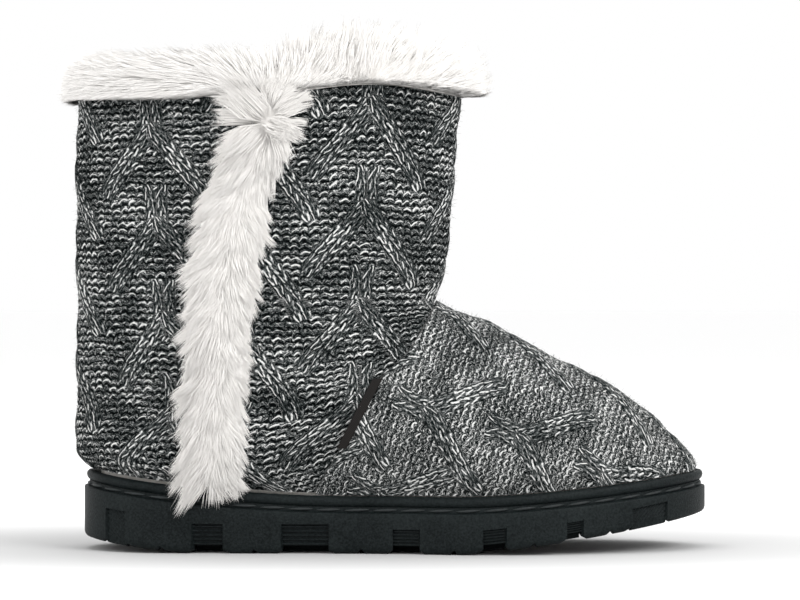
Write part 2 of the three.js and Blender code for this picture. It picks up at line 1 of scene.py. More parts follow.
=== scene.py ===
# %% [markdown]
# A bootie slipper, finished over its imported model.
# The model gives the true sizes: a moulded rubber sole, a knitted upper shaped on a last, a fur
# collar, a fur strip down the outer side and a small woven tab. Here each of them gets the surface
# that the real maker gives it. We work in millimetres from the back of the sole, as the maker
# does, and turn to metres in the model's own frame only when a mesh is made.

# %% Load the frame
import math

import bpy
import numpy as np
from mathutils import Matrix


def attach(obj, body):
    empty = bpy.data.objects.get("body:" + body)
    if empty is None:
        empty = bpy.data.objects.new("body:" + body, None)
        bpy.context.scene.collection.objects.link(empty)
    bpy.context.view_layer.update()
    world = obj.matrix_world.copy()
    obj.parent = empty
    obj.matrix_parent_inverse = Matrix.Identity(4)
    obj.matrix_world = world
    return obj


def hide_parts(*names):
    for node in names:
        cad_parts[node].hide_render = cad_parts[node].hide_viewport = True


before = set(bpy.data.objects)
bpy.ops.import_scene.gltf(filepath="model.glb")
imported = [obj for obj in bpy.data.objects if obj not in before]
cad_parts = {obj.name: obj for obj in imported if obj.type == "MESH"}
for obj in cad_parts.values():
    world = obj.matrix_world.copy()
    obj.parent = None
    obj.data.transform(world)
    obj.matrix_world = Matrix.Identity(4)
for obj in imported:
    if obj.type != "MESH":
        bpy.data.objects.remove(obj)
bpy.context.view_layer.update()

# %% [markdown]
# The maker's sizes come first, because every surface is worked out from them. The model stands
# with its origin under the middle of its box, so we find the back of the sole from the sole's own
# solid: its rearmost point is x = 0 for us, and the tip of its toe lies toe_swing off the middle.

# %% Sizes in millimetres
sole_length = 265
ball_width = 98
heel_width = 74
waist_width = 72
toe_width = 92
toe_swing = 7
arch_cut = 3
sole_height = 23.8
heel_height = 34
toe_height = 33.5
toe_spring = 15.5
heel_bevel = 5.5
rim_height = 4.4
rim_thickness = 3
rim_setback = 0.9
groove_height = 2.4
groove_depth = 2.2
edge_rounding = 2
floor_depth = 3
wall = 3.2
throat_reach = 150
throat_height = 106
throat_width = 80
collar_height = 190
collar_width = 84
collar_flare = 10.5
front_crown = 5
heel_overhang = 3.6
side_overhang = 1.2
clearance = 0.3

sole_points = np.array([v.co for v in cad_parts["outsole"].data.vertices]) * 1000
toe_tip = sole_points[sole_points[:, 0].argmax()]
to_frame = np.array([sole_points[:, 0].min(), toe_tip[1] - toe_swing, 0])
print("back of the sole in the frame, mm:", to_frame.round(3))

# %% [markdown]
# The last is a few tables: a row for each station along the sole, and a row for each level of the
# upper. We could loft curves through them in the viewport, but a formula is exact and lets
# us ask for any point, so the same function serves knit, lining, fur and tab.

# %% Tables of the last
outline_rows = [
    {"at": 0, "half": heel_width / 2, "sway": 0},
    {"at": 0.16, "half": heel_width / 2, "sway": 0},
    {"at": 0.42, "half": waist_width / 2, "sway": -arch_cut},
    {"at": 0.69, "half": ball_width / 2, "sway": 0},
    {"at": 0.86, "half": toe_width / 2, "sway": toe_swing * 0.45},
    {"at": 1, "half": toe_width / 2, "sway": toe_swing},
]
level_names = ("level", "forward", "flare", "bulge", "girth", "oval", "widest", "full")
upper_rows = [
    dict(zip(level_names, row))
    for row in [
        (0, 1, 0, 0, 1, 0, 0.62, 2.9),
        (0.045, 1, 0, 0, 1, 0, 0.62, 2.9),
        (0.09, 0.993, 0, 0.45, 1, 0, 0.62, 2.9),
        (0.155, 0.967, 0, 0.85, 1, 0.05, 0.62, 2.9),
        (0.3, 0.886, 0, 1, 0.85, 0.35, 0.62, 2.9),
        (0.44, 0.79, 0, 0.97, 0.5, 0.8, 0.6, 2.9),
        (0.57, 0.652, 0, 0.95, 0.3, 1, 0.54, 2.9),
        (0.69, 0.477, 0, 0.93, 0.15, 1, 0.48, 3),
        (0.776, 0.348, 0, 0.92, 0.08, 1, 0.46, 2.9),
        (0.847, 0.25, 0, 0.92, 0.04, 1, 0.45, 2.7),
        (0.905, 0.165, 0, 0.92, 0.02, 1, 0.46, 2.5),
        (0.945, 0.06, 0, 0.92, 0, 1, 0.48, 2.4),
        (1, 0, 0, 0.92, 0, 1, 0.5, 2.35),
        (1.1, 0, 0.2, 0.92, 0, 1, 0.5, 2.3),
        (1.22, 0, 0.4, 0.95, 0, 1, 0.5, 2.3),
        (1.4, 0, 0.58, 0.98, 0, 1, 0.5, 2.3),
        (1.64, 0, 0.7, 0.97, 0, 1, 0.5, 2.3),
        (1.84, 0, 0.85, 0.93, 0, 1, 0.5, 2.3),
        (1.95, 0, 1, 0.9, 0, 1, 0.5, 2.3),
        (2, 0, 0.97, 0.9, 0, 1, 0.5, 2.3),
    ]
]
back_fullness = 2.3
hem_level = 0.045
heel_round_share = 0.14
toe_round_share = 0.27


def smooth_column(rows, across, name, x):
    """A table's column as a smooth curve that never runs past its rows."""
    at = np.array([row[across] for row in rows], float)
    value = np.array([row[name] for row in rows], float)
    x = np.clip(x, at[0], at[-1])
    step = np.diff(at)
    slope = np.diff(value) / step
    product = slope[:-1] * slope[1:]
    total = np.where(product > 0, slope[:-1] + slope[1:], 1)
    inner = np.where(product > 0, 2 * product / total, 0)
    tangent = np.concatenate([slope[:1], inner, slope[-1:]])
    i = np.clip(np.searchsorted(at, x, side="right") - 1, 0, len(step) - 1)
    t = (x - at[i]) / step[i]
    rise = value[i + 1] - value[i]
    bend = step[i] * t * (1 - t) * ((1 - t) * tangent[i] - t * tangent[i + 1])
    return value[i] + rise * t * t * (3 - 2 * t) + bend


def mix(a, b, share):
    return a + (b - a) * share


# %% [markdown]
# Seen from above, the sole is a half width on each side of a slightly curved middle line, rounded
# off at heel and toe. Seen from the side, its rim climbs at both ends and its underside leaves the
# floor. Curves drawn by hand would do, but a few formulas give the same shape at any station.

# %% Outline and rims of the sole
def end_rounding(share):
    heel = np.maximum(0, 1 - share / heel_round_share)
    toe = np.maximum(0, 1 - (1 - share) / toe_round_share)
    return np.sqrt(np.maximum(0, 1 - heel**2)) * np.sqrt(np.maximum(0, 1 - toe**2))


def foot_half(share, inset):
    return (smooth_column(outline_rows, "at", "half", share) - inset) * end_rounding(share)


def foot_middle(share):
    return smooth_column(outline_rows, "at", "sway", share)


def outline(turn, inset):
    """The sole's outline: turn runs from the heel over the outer side to the toe and back."""
    share = (1 - np.cos(turn)) / 2
    side = np.where(np.sin(turn) > 0, -1, 1)
    x = inset + share * (sole_length - 2 * inset)
    return x, foot_middle(share) + side * foot_half(share, inset)


def from_heel(x, begins, power):
    return np.maximum(0, 1 - np.maximum(0, x) / sole_length / begins) ** power


def from_toe(x, begins, power):
    return np.maximum(0, (x / sole_length - begins) / (1 - begins)) ** power


def rim_top(x):
    heel = (heel_height - sole_height) * from_heel(x, begins=0.45, power=2)
    toe = (toe_height - sole_height) * from_toe(x, begins=0.6, power=1.5)
    return sole_height + heel + toe


def underside(x):
    heel = heel_bevel * from_heel(x, begins=0.19, power=1.3)
    return heel + toe_spring * from_toe(x, begins=0.6, power=1.25)


# %% [markdown]
# The real upper is stretched over a last. We give its face two coordinates: a level, from 0 at the
# hem over 1 at the throat to 2 at the collar's edge, and a turn, from the heel over the outer side
# to the toe and back. Whatever lies on the upper then asks this one face for its points.

# %% The upper's face
crown_station = 0.78
crown_spread = 0.2
normal_step = 0.004


def face_height(level, x, share):
    """Height of a level: it follows the rim low down and the collar's line at the top."""
    seam = sole_height - floor_depth + clearance
    fade = np.maximum(0, (1 - np.maximum(level, hem_level)) / (1 - hem_level))
    low = (rim_top(np.minimum(x, sole_length)) - sole_height) * fade**3
    crown = front_crown * np.exp(-(((share - crown_station) / crown_spread) ** 2))
    above = mix(throat_height, collar_height, level - 1) + crown * np.maximum(0, level - 1) ** 2
    return np.where(level < 1, mix(seam, throat_height, level) + low, above)


def face_ends(level):
    """The rearmost and foremost x of a level."""
    tuck = rim_thickness + clearance
    back = mix(tuck, -heel_overhang, smooth_column(upper_rows, "level", "bulge", level))
    reach = mix(throat_reach, sole_length - tuck, smooth_column(upper_rows, "level", "forward", level))
    return back, reach + collar_flare * smooth_column(upper_rows, "level", "flare", level)


def face_half(level, share, x):
    """The middle line's y and half the width of a level at a share of its length."""
    row = {name: smooth_column(upper_rows, "level", name, level) for name in level_names[3:]}
    inset = mix(rim_thickness + clearance, -side_overhang, row["bulge"])
    taper = mix(throat_width, collar_width, np.maximum(0, level - 1)) / 2
    half = mix(taper, ball_width / 2, row["girth"])
    rear = 1 - np.maximum(0, 1 - share / row["widest"]) ** back_fullness
    ahead = np.maximum(0, (share - row["widest"]) / (1 - row["widest"]))
    oval = half * np.sqrt(np.maximum(0, rear * (1 - ahead ** row["full"])))
    lean = 2 * toe_swing * np.maximum(0, x / sole_length - 0.5)
    middle = mix(foot_middle(share), lean, row["oval"])
    return middle, mix(foot_half(share, inset), oval, row["oval"])


def face(level, turn):
    """Points of the upper's outer face for a level and a turn around it."""
    level, turn = np.broadcast_arrays(np.asarray(level, float), np.asarray(turn, float))
    share = (1 - np.cos(turn)) / 2
    back, front = face_ends(level)
    x = mix(back, front, share)
    middle, half = face_half(level, share, x)
    y = middle + np.where(np.sin(turn) > 0, -1, 1) * half
    return np.stack([x, y, face_height(level, x, share)], axis=-1)


def unit(vectors):
    return vectors / np.maximum(1e-9, np.linalg.norm(vectors, axis=-1, keepdims=True))


def face_normal(level, turn):
    """Outward normals of the upper's outer face."""
    above, below = np.minimum(2, level + normal_step), np.maximum(0, level - normal_step)
    round_it = face(level, turn + normal_step) - face(level, turn - normal_step)
    return unit(np.cross(round_it, face(above, turn) - face(below, turn)))


# %% [markdown]
# Most pieces are grids of points that numpy works out all at once, which is far quicker than
# modelling tools and repeats exactly. These helpers turn such a grid into an object that rides on
# the slipper's body, find its faces and normals, and store numbers that its finish can read.

# %% Meshes from points
def make_mesh(name, points, faces, finish):
    """An object on body root from points in mm from the heel."""
    mesh = bpy.data.meshes.new(name)
    metres = (np.asarray(points).reshape(-1, 3) + to_frame) / 1000
    mesh.from_pydata(metres, [], faces)
    mesh.shade_smooth()
    piece = bpy.data.objects.new(name, mesh)
    bpy.context.scene.collection.objects.link(piece)
    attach(piece, "root")
    mesh.materials.append(finish)
    triangles = sum(len(polygon.vertices) - 2 for polygon in mesh.polygons)
    print(f"{name}: {triangles} triangles")
    return piece


def grid_faces(rows, columns, closed=False):
    """Quads between neighbouring rows and columns of a grid of points."""
    across = np.arange(columns if closed else columns - 1)
    i, j = np.meshgrid(np.arange(rows - 1), across, indexing="ij")
    after = (j + 1) % columns
    corners = [i * columns + j, i * columns + after, (i + 1) * columns + after, (i + 1) * columns + j]
    return np.stack(corners, axis=-1).reshape(-1, 4)


def grid_normals(points):
    """Outward normals of a grid of points, from the way its rows and columns run."""
    down = np.gradient(points, axis=0)
    across = np.gradient(points, axis=1)
    return unit(np.cross(across, down))


def path_length(points):
    """Distance so far at each point of a path."""
    return np.concatenate([[0], np.cumsum(np.linalg.norm(np.diff(points, axis=0), axis=1))])


def write_attribute(piece, name, values):
    """Three numbers for each vertex, which a material can read."""
    layer = piece.data.attributes.new(name, "FLOAT_VECTOR", "POINT")
    layer.data.foreach_set("vector", np.asarray(values, np.float32).ravel())


# %% [markdown]
# A finish is a node tree. Sums of masks are easier to read as Python expressions, so a small class
# wraps a socket: adding or multiplying it adds the Math node for us. A second class holds a material
# and makes each other node from one method.

# %% Shader expressions
class Value:
    """A shader socket that can be added, subtracted, multiplied and divided."""

    def __init__(self, finish, socket):
        self.finish = finish
        self.socket = socket

    def meet(self, operation, first, second):
        return self.finish.node("Math", {"operation": operation}, {0: first, 1: second})

    def __add__(self, other):
        return self.meet("ADD", self, other)

    def __sub__(self, other):
        return self.meet("SUBTRACT", self, other)

    def __mul__(self, other):
        return self.meet("MULTIPLY", self, other)

    def __truediv__(self, other):
        return self.meet("DIVIDE", self, other)

    def __rsub__(self, other):
        return self.meet("SUBTRACT", other, self)

    def __rtruediv__(self, other):
        return self.meet("DIVIDE", other, self)

    __radd__ = __add__
    __rmul__ = __mul__


class Finish:
    """A material with one Principled shader, and the nodes that feed it."""

    def __init__(self, name, **constants):
        self.material = bpy.data.materials.new(name)
        self.material.use_nodes = True
        self.tree = self.material.node_tree
        self.shader = self.tree.nodes["Principled BSDF"]
        for socket, value in constants.items():
            self.shader.inputs[socket.replace("_", " ")].default_value = value

    def node(self, kind, settings=None, values=None, out=0):
        node = self.tree.nodes.new("ShaderNode" + kind)
        for setting, value in (settings or {}).items():
            if setting == "stops":
                self.set_stops(node.color_ramp, value)
            else:
                setattr(node, setting, value)
        for socket, value in (values or {}).items():
            self.feed(node.inputs[socket], value)
        if isinstance(out, tuple):
            return [Value(self, node.outputs[name]) for name in out]
        return Value(self, node.outputs[out])

    def set_stops(self, ramp, stops):
        while len(ramp.elements) < len(stops):
            ramp.elements.new(0.5)
        for element, (position, colour) in zip(ramp.elements, stops):
            element.position = position
            element.color = (*colour, 1)

    def object_place(self):
        """The object's own coordinates in metres, which move with it."""
        return self.node("TexCoord", None, None, out="Object")

    def feed(self, socket, value):
        if isinstance(value, Value):
            self.tree.links.new(value.socket, socket)
        elif isinstance(value, tuple) and len(value) == 3 and len(socket.default_value) == 4:
            socket.default_value = (*value, 1)
        else:
            socket.default_value = value

    def set(self, **links):
        for socket, value in links.items():
            self.feed(self.shader.inputs[socket.replace("_", " ")], value)

    def blend(self, factor, first, second):
        """A colour between two colours."""
        return self.node("Mix", {"data_type": "RGBA"}, {0: factor, 6: first, 7: second}, out=2)

    def scaled(self, vector, scale):
        return self.node("VectorMath", {"operation": "MULTIPLY"}, {0: vector, 1: scale})

    def length(self, vector):
        return self.node("VectorMath", {"operation": "LENGTH"}, {0: vector}, out="Value")

    def noise(self, vector, scale, detail, roughness=0.5):
        return self.node("TexNoise", None, {
            "Vector": vector, "Scale": scale, "Detail": detail, "Roughness": roughness,
        })

    def math(self, operation, first, second=0.0):
        return self.node("Math", {"operation": operation}, {0: first, 1: second})

    def ramp_up(self, value, low, high):
        """0 below low, 1 above high, smooth between them."""
        return self.node("MapRange", {"interpolation_type": "SMOOTHSTEP"}, {
            "Value": value, "From Min": low, "From Max": high,
        })

    def vector(self, x, y, z=0.0):
        return self.node("CombineXYZ", None, {0: x, 1: y, 2: z})

    def attribute(self, name):
        whole = self.node("Attribute", {"attribute_name": name}, out="Vector")
        return self.node("SeparateXYZ", None, {0: whole}, out=(0, 1, 2))

    def bump(self, height, distance, strength):
        return self.node("Bump", None, {"Height": height, "Distance": distance, "Strength": strength})


# %% [markdown]
# The knit is a reverse stockinette ground with cabled ropes on it. A simple way would be a
# picture of knitting; instead the knit is charted as a knitter charts it. Every panel has two
# coordinates in millimetres, sideways and along the knitting, and one motif is drawn in them: a
# rope that crosses over, one that passes under it, and two short loops above the crossing.

# %% Knitting chart
course_pitch = 3.0
stitch_width = 4.1
loop_rise = 0.34
purl_height = 0.5
purl_roundness = 0.7
arch_share = 0.28
rope_half = 4.6
rope_height = 0.95
rope_roundness = {"across": 3, "top": 0.7, "end": 0.6}
rope_end = 6
rope_lift = 0.4
under_share = 0.9
# How soon, from its edge inwards, a rope covers the ground and shows the plies it is twisted of.
rope_cover = {"ground": 1.6, "plies": 2}
loop_half = 2.9
loop_share = 0.8
loop_lift = 0.2
strand_width = 1.95
ply_height = 0.12
seam_half = 2.2
seam_depth = 0.7

# Each strand's points sideways and along the knitting from the crossing, and how far it stands up.
motif_strands = [
    {"name": "over", "half": rope_half, "height": rope_height + rope_lift,
     "points": [(-1.5, -3), (2.5, 3.5), (9.5, 11.5), (16.8, 20), (21.3, 26), (26, 33)]},
    {"name": "under", "half": rope_half, "height": rope_height * under_share,
     "points": [(1.5, -3), (-1.5, 2), (-7, 8), (-13, 15), (-19.5, 21.5), (-24.5, 28.5)]},
    {"name": "left loop", "half": loop_half, "height": rope_height * loop_share + loop_lift,
     "points": [(-4.0, -16.5), (-1.9, -9.5), (-2.8, -0.5)]},
    {"name": "right loop", "half": loop_half, "height": rope_height * loop_share + loop_lift,
     "points": [(4.2, -16.5), (2.2, -9.5), (3.0, -0.5)]},
]
print("strands in a motif:", len(motif_strands), "each rope", 2 * rope_half, "mm wide")

# %% [markdown]
# To raise a rope we take every grid point near its curve, find the closest spot on the curve, and
# keep how far off it and how far along it the point lies. The distance off gives the round section,
# and both together tell the finish later where each stitch of the rope is.

# %% Laying a motif
curve_samples = 20
curve_smoothing = 6


def curve_through(points):
    """A smoothed line through a few chosen points."""
    points = np.array(points, float)
    at = path_length(points)
    line = np.linspace(0, at[-1], curve_samples)
    curve = np.stack([np.interp(line, at, points[:, k]) for k in (0, 1)], axis=1)
    for _ in range(curve_smoothing):
        curve[1:-1] = (curve[:-2] + 2 * curve[1:-1] + curve[2:]) / 4
    return curve


def nearest_on(curve, places):
    """Distances of places from a curve, the same with a sign across it, and how far along it."""
    steps = np.diff(curve, axis=0)
    apart = np.full(len(places), np.inf)
    across = np.zeros(len(places))
    down = np.zeros(len(places))
    for start, step, begin in zip(curve[:-1], steps, path_length(curve)):
        offset = places - start
        length = np.linalg.norm(step)
        share = np.clip(offset @ step / length**2, 0, 1)
        distance = np.linalg.norm(offset - share[:, None] * step, axis=1)
        sign = np.sign(step[0] * offset[:, 1] - step[1] * offset[:, 0])
        closer = distance < apart
        apart = np.where(closer, distance, apart)
        across = np.where(closer, sign * distance, across)
        down = np.where(closer, begin + share * length, down)
    return apart, across, down


def lay_strand(side, along, strand, relief):
    """Raises one strand along its curve where it lies above what is there already."""
    curve = curve_through(strand["points"])
    half = strand["half"]
    low, high = curve.min(axis=0) - half, curve.max(axis=0) + half
    near = (side > low[0]) & (side < high[0]) & (along > low[1]) & (along < high[1])
    spots = np.flatnonzero(near)
    if not len(spots):
        return
    places = np.stack([side.flat[spots], along.flat[spots]], axis=1)
    apart, across, down = nearest_on(curve, places)
    to_end = np.minimum(down, path_length(curve)[-1] - down)
    fade = np.clip(to_end / rope_end, 0, 1) ** rope_roundness["end"]
    section = np.maximum(0, 1 - (apart / half) ** rope_roundness["across"])
    mask = section ** rope_roundness["top"] * fade
    found = {"height": strand["height"] * mask, "down": down, "across": across, "mask": mask}
    wins = (apart < half) & (found["height"] > relief["height"].flat[spots])
    for name, values in found.items():
        relief[name].flat[spots[wins]] = values[wins]


def lay_motif(side, along, direction, relief):
    """One motif: side and along are measured from its crossing, in the way the knitting runs."""
    for strand in motif_strands:
        lay_strand(side, direction * along, strand, relief)


def bare_relief(shape):
    return {name: np.zeros(shape) for name in ("height", "down", "across", "mask")}


# %% [markdown]
# Between the ropes the ground is rows of purl bumps, which a short formula gives as real relief, so
# that they catch the light at the outline too. A knitted piece joins all this: courses, ropes, the
# twist of their plies, and the seam that draws the knit in.

# %% Courses in relief
# How far stitches drift from their places, over what length, and the seed of that drift.
drift_rows = [
    {"way": "side", "far": 0.55, "length": 13, "seed": 5},
    {"way": "side", "far": 0.2, "length": 5, "seed": 6},
    {"way": "along", "far": 0.5, "length": 16, "seed": 7},
    {"way": "along", "far": 0.22, "length": 6, "seed": 8},
]
drift_waves = 10


def stray(side, along, length, seed):
    """A slow random drift of about -1 to 1, since no machine keeps its stitches quite even."""
    rng = np.random.default_rng(seed)
    total = np.zeros(side.shape)
    for _ in range(drift_waves):
        angle, phase = rng.uniform(0, 2 * math.pi, 2)
        wave = 2 * math.pi / (length * rng.uniform(0.7, 1.6))
        total += np.sin(wave * (side * math.cos(angle) + along * math.sin(angle)) + phase)
    return total / 4


def uneven(side, along):
    """The stitches' own coordinates: the panel's, with a little drift."""
    own = {"side": side, "along": along}
    for row in drift_rows:
        own[row["way"]] = own[row["way"]] + row["far"] * stray(side, along, row["length"], row["seed"])
    return own["side"], own["along"]


def purl_relief(side, along):
    """Rows of purl bumps: each course is a row of low arches that lock into the row above."""
    arch = np.abs(np.sin(math.pi * side / stitch_width))
    phase = along / course_pitch - loop_rise * arch
    row = 0.5 - 0.5 * np.cos(2 * math.pi * phase)
    return purl_height * row**purl_roundness * (1 - arch_share + arch_share * arch)


def knit_height(side, along, relief, edge, ease):
    """How far the knit stands up or, at a seam, is drawn in: edge is the distance from the seam."""
    covered = np.minimum(1, relief["mask"] * rope_cover["ground"])
    ground = ease * purl_relief(side, along) * (1 - covered)
    lanes = np.cos(2 * math.pi * (relief["across"] / strand_width + 0.5))
    plies = ply_height * lanes * np.minimum(1, relief["mask"] * rope_cover["plies"])
    trough = seam_depth * np.maximum(0, 1 - edge / seam_half) ** 2
    return ground + relief["height"] + plies - purl_height - trough


def knit_panel(name, points, normals, stitches, relief, edge, ease, finish):
    """A knitted piece over a grid of points, with the stitches' coordinates for its finish."""
    side, along = stitches
    height = knit_height(side, along, relief, edge, ease)
    piece = make_mesh(name, points + normals * height[..., None], grid_faces(*side.shape), finish)
    write_attribute(piece, "weave", np.stack([side, along, np.zeros_like(side)], axis=-1))
    write_attribute(piece, "rope", np.stack([relief[k] for k in ("down", "across", "mask")], axis=-1))
    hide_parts("knit_upper")
    return piece


# %% [markdown]
# The shaft is one knitted tube from the collar down to the sole, cut away in front where
# the vamp is sewn in. Its courses lie level. We lay a fine grid over the face, a row for every
# quarter of a course, and lift its points where purl bumps and cable ropes stand proud. Below the
# throat the shaft ends at the seam, so it is made in two parts that meet in one level line.

# %% Shaft panels
grid_step = course_pitch / 4
shaft_parts = [
    {"name": "knit_shaft_upper", "low": 1.0, "high": 2.0, "columns": 560},
    {"name": "knit_shaft_lower", "low": hem_level, "high": 1.0, "columns": 500},
]
# The seam between shaft and vamp, by height: how far it lies from the back of the sole.
seam_rows = [
    {"z": 20, "x": 96.5}, {"z": 32.9, "x": 103.3}, {"z": 44.9, "x": 110}, {"z": 58.6, "x": 117.8},
    {"z": 72.3, "x": 125.3}, {"z": 79, "x": 132.5}, {"z": 86, "x": 139}, {"z": 97, "x": 145.6},
    {"z": 106.7, "x": 150.4},
]
# Columns of motifs, by their distance round from the middle of the back: the height of the top
# crossing, the pitch down to the next, and the lean over the shaft's whole height.
shaft_columns = [
    {"at": 0, "top": 204, "pitch": 40.2, "lean": 0},
    {"at": 52, "top": 176.5, "pitch": 39.3, "lean": 11},
    {"at": 102, "top": 212, "pitch": 41.2, "lean": -16},
    {"at": 145.5, "top": 183.2, "pitch": 39.8, "lean": -12},
]
front_column = {"top": 198, "pitch": 39}
lean_height = 160
# How high the courses stand on the shaft: less where the face lies back and they spread apart.
course_ease = {"upright": 1.15, "loss": 1.6, "least": 0.1}
flattest = 0.9
shaft_crossings = 5
ring_samples = 721


def seam_x(z):
    return smooth_column(seam_rows, "z", "x", z)


def shaft_rows(levels, columns):
    """Turns and distances round, from the seam on the inner side over the back to the outer side."""
    rows = {name: [] for name in ("turn", "side", "seam", "front")}
    share = np.linspace(-1, 1, columns)
    turn = np.linspace(0, math.pi, ring_samples)
    for level in levels:
        points = face(level, turn)
        along = path_length(points)
        seam = along[-1]
        ahead = points[:, 0] - seam_x(points[:, 2])
        if level < 1 and (ahead > 0).any():
            first = np.argmax(ahead > 0)
            seam = np.interp(0, ahead[first - 1:first + 1], along[first - 1:first + 1])
        distance = np.abs(share) * seam
        reached = np.interp(distance, along, turn)
        rows["turn"].append(np.where(share < 0, -reached, reached))
        rows["side"].append(np.sign(share) * distance)
        rows["seam"].append(np.full(columns, seam))
        rows["front"].append(np.full(columns, along[-1]))
    return {name: np.array(values) for name, values in rows.items()}


def climbed(along, normals, above):
    """Distance up the face where it leans, so that its courses stay equally wide there."""
    steep = np.sqrt(1 - np.clip(normals[..., 2] ** 2, 0, flattest))
    steps = np.diff(along, axis=0) * 2 / (steep[1:] + steep[:-1])
    climb = np.concatenate([np.zeros((1, along.shape[1])), np.cumsum(steps, axis=0)])
    return climb + throat_height - climb[0 if above else -1]


def eased(normals):
    share = course_ease["upright"] - course_ease["loss"] * normals[..., 2] ** 2
    return np.clip(share, course_ease["least"], 1)


def lay_shaft_motifs(side, along, front, relief):
    """Every motif of the shaft, with each column mirrored on the inner side."""
    for row in shaft_columns:
        centre = row["at"] + row["lean"] * (row["top"] - along) / lean_height
        for mirror in (-1, 1) if row["at"] else (1,):
            for k in range(shaft_crossings):
                lay_motif(side - mirror * centre, along - (row["top"] - k * row["pitch"]), -1, relief)
    beyond = np.where(side < 0, side + front, side - front)
    for k in range(shaft_crossings):
        lay_motif(beyond, along - (front_column["top"] - k * front_column["pitch"]), -1, relief)


def shaft_panel(name, low, high, columns, finish):
    rise = face_height(high, 0, 0) - face_height(low, 0, 0)
    levels = np.linspace(low, high, int(round(rise / grid_step)) + 1)
    rows = shaft_rows(levels, columns)
    turn, side = rows["turn"], rows["side"]
    level = np.broadcast_to(levels[:, None], turn.shape)
    points, normals = face(level, turn), face_normal(level, turn)
    along = np.where(level < 1, points[..., 2], mix(throat_height, collar_height, level - 1))
    relief = bare_relief(side.shape)
    lay_shaft_motifs(side, along, rows["front"], relief)
    edge = np.where(level < 1, rows["seam"] - np.abs(side), seam_half)
    stitches = uneven(side, climbed(along, normals, high > 1))
    return knit_panel(name, points, normals, stitches, relief, edge, eased(normals), finish)


# %% [markdown]
# The marled yarn twists a black, a grey and a white ply. Each stitch shows a short dash of
# whichever ply lies on top, and loose fibres blur its edge. A picture could show that, but a
# drawing from random numbers stays sharp at any distance. So every stitch gets three of them, for
# how light its dash is, how it lies and how thick it is, and a noise stretched along the yarn
# breaks it into fibres. On the ropes the dashes lean to and fro in lanes, which looks plaited.

# %% Marled knit finish
rope_stitch = 4.8
# Each course shows the heads of its loops, and between them the duller feet of the next course.
stitch_rows = [
    {"shift": 0.0, "dip": 0.0, "half": 0.135, "dark": 0.08, "light": 0.72, "seed": 0},
    {"shift": 0.5, "dip": 0.3, "half": 0.12, "dark": 0.25, "light": 0.4, "seed": 40},
]
rope_row = {"half": 0.2, "lean": 0.75, "turn": 1.05, "least": 0.1, "light": 0.62}
course_stagger = {"step": 0.618, "far": 0.22}
lane_stagger = 0.37
lane_offset = 20
lane_bend = {"across": 0.9, "down": 0.6}
# How far a dash strays from its stitch, how thin the thinnest is, and how much shorter some are.
dash_form = {"stray": 0.24, "least": 0.6, "short": 0.3}
# How strongly the white dashes take up the fibres' noise.
dash_fibre = 1.6
# Noises by how fast they run over two coordinates, and a slice that keeps them apart.
yarn_noises = {
    "hair": {"first": 0.85, "second": course_pitch * 1.6, "slice": 3.0, "detail": 3.0, "rough": 0.8},
    "rope hair": {"first": 0.5, "second": 1.8, "slice": 5.0, "detail": 3.0, "rough": 0.75},
    "patch": {"first": 0.035, "second": 0.06, "slice": 7.0, "detail": 2.0, "rough": 0.5},
    "bend": {"first": 0.25, "second": 0.35, "slice": 9.0, "detail": 1.0, "rough": 0.5},
}
# The yarn's tones from its darkest fibre to its lightest, as linear colours by shade.
knit_tones = [
    (0.0, (0.001, 0.0014, 0.0015)), (0.24, (0.006, 0.0085, 0.0085)), (0.38, (0.042, 0.048, 0.048)),
    (0.54, (0.125, 0.132, 0.131)), (0.72, (0.35, 0.355, 0.35)), (0.9, (0.69, 0.69, 0.68)),
]


def yarn_noise(finish, kind, first, second):
    """One of the yarn's noises, from about -0.5 to 0.5."""
    row = yarn_noises[kind]
    place = finish.vector(first * row["first"], second * row["second"], row["slice"])
    return finish.noise(place, 1.0, row["detail"], row["rough"]) - 0.5


def luck(finish, column, row):
    """Three random numbers from 0 to 1 for each stitch."""
    cell = finish.vector(column + 0.5, row + 0.5)
    numbers = finish.node("TexWhiteNoise", {"noise_dimensions": "2D"}, {"Vector": cell}, out="Color")
    return finish.node("SeparateXYZ", None, {0: numbers}, out=(0, 1, 2))


def dash(finish, place, chance, slant, half):
    """One light ply across a stitch: place holds its two shares, slant its lean over the stitch."""
    along, across = place
    line = (along - 0.5) * slant + 0.5 + (chance[1] - 0.5) * dash_form["stray"]
    apart = finish.math("ABSOLUTE", across - line) / (chance[2] * half + half * dash_form["least"])
    ends = finish.math("ABSOLUTE", along * 2 - 1) - chance[1] * dash_form["short"]
    return (1 - finish.ramp_up(apart, 0.3, 1.0)) * (1 - finish.ramp_up(ends, 0.5, 0.85))


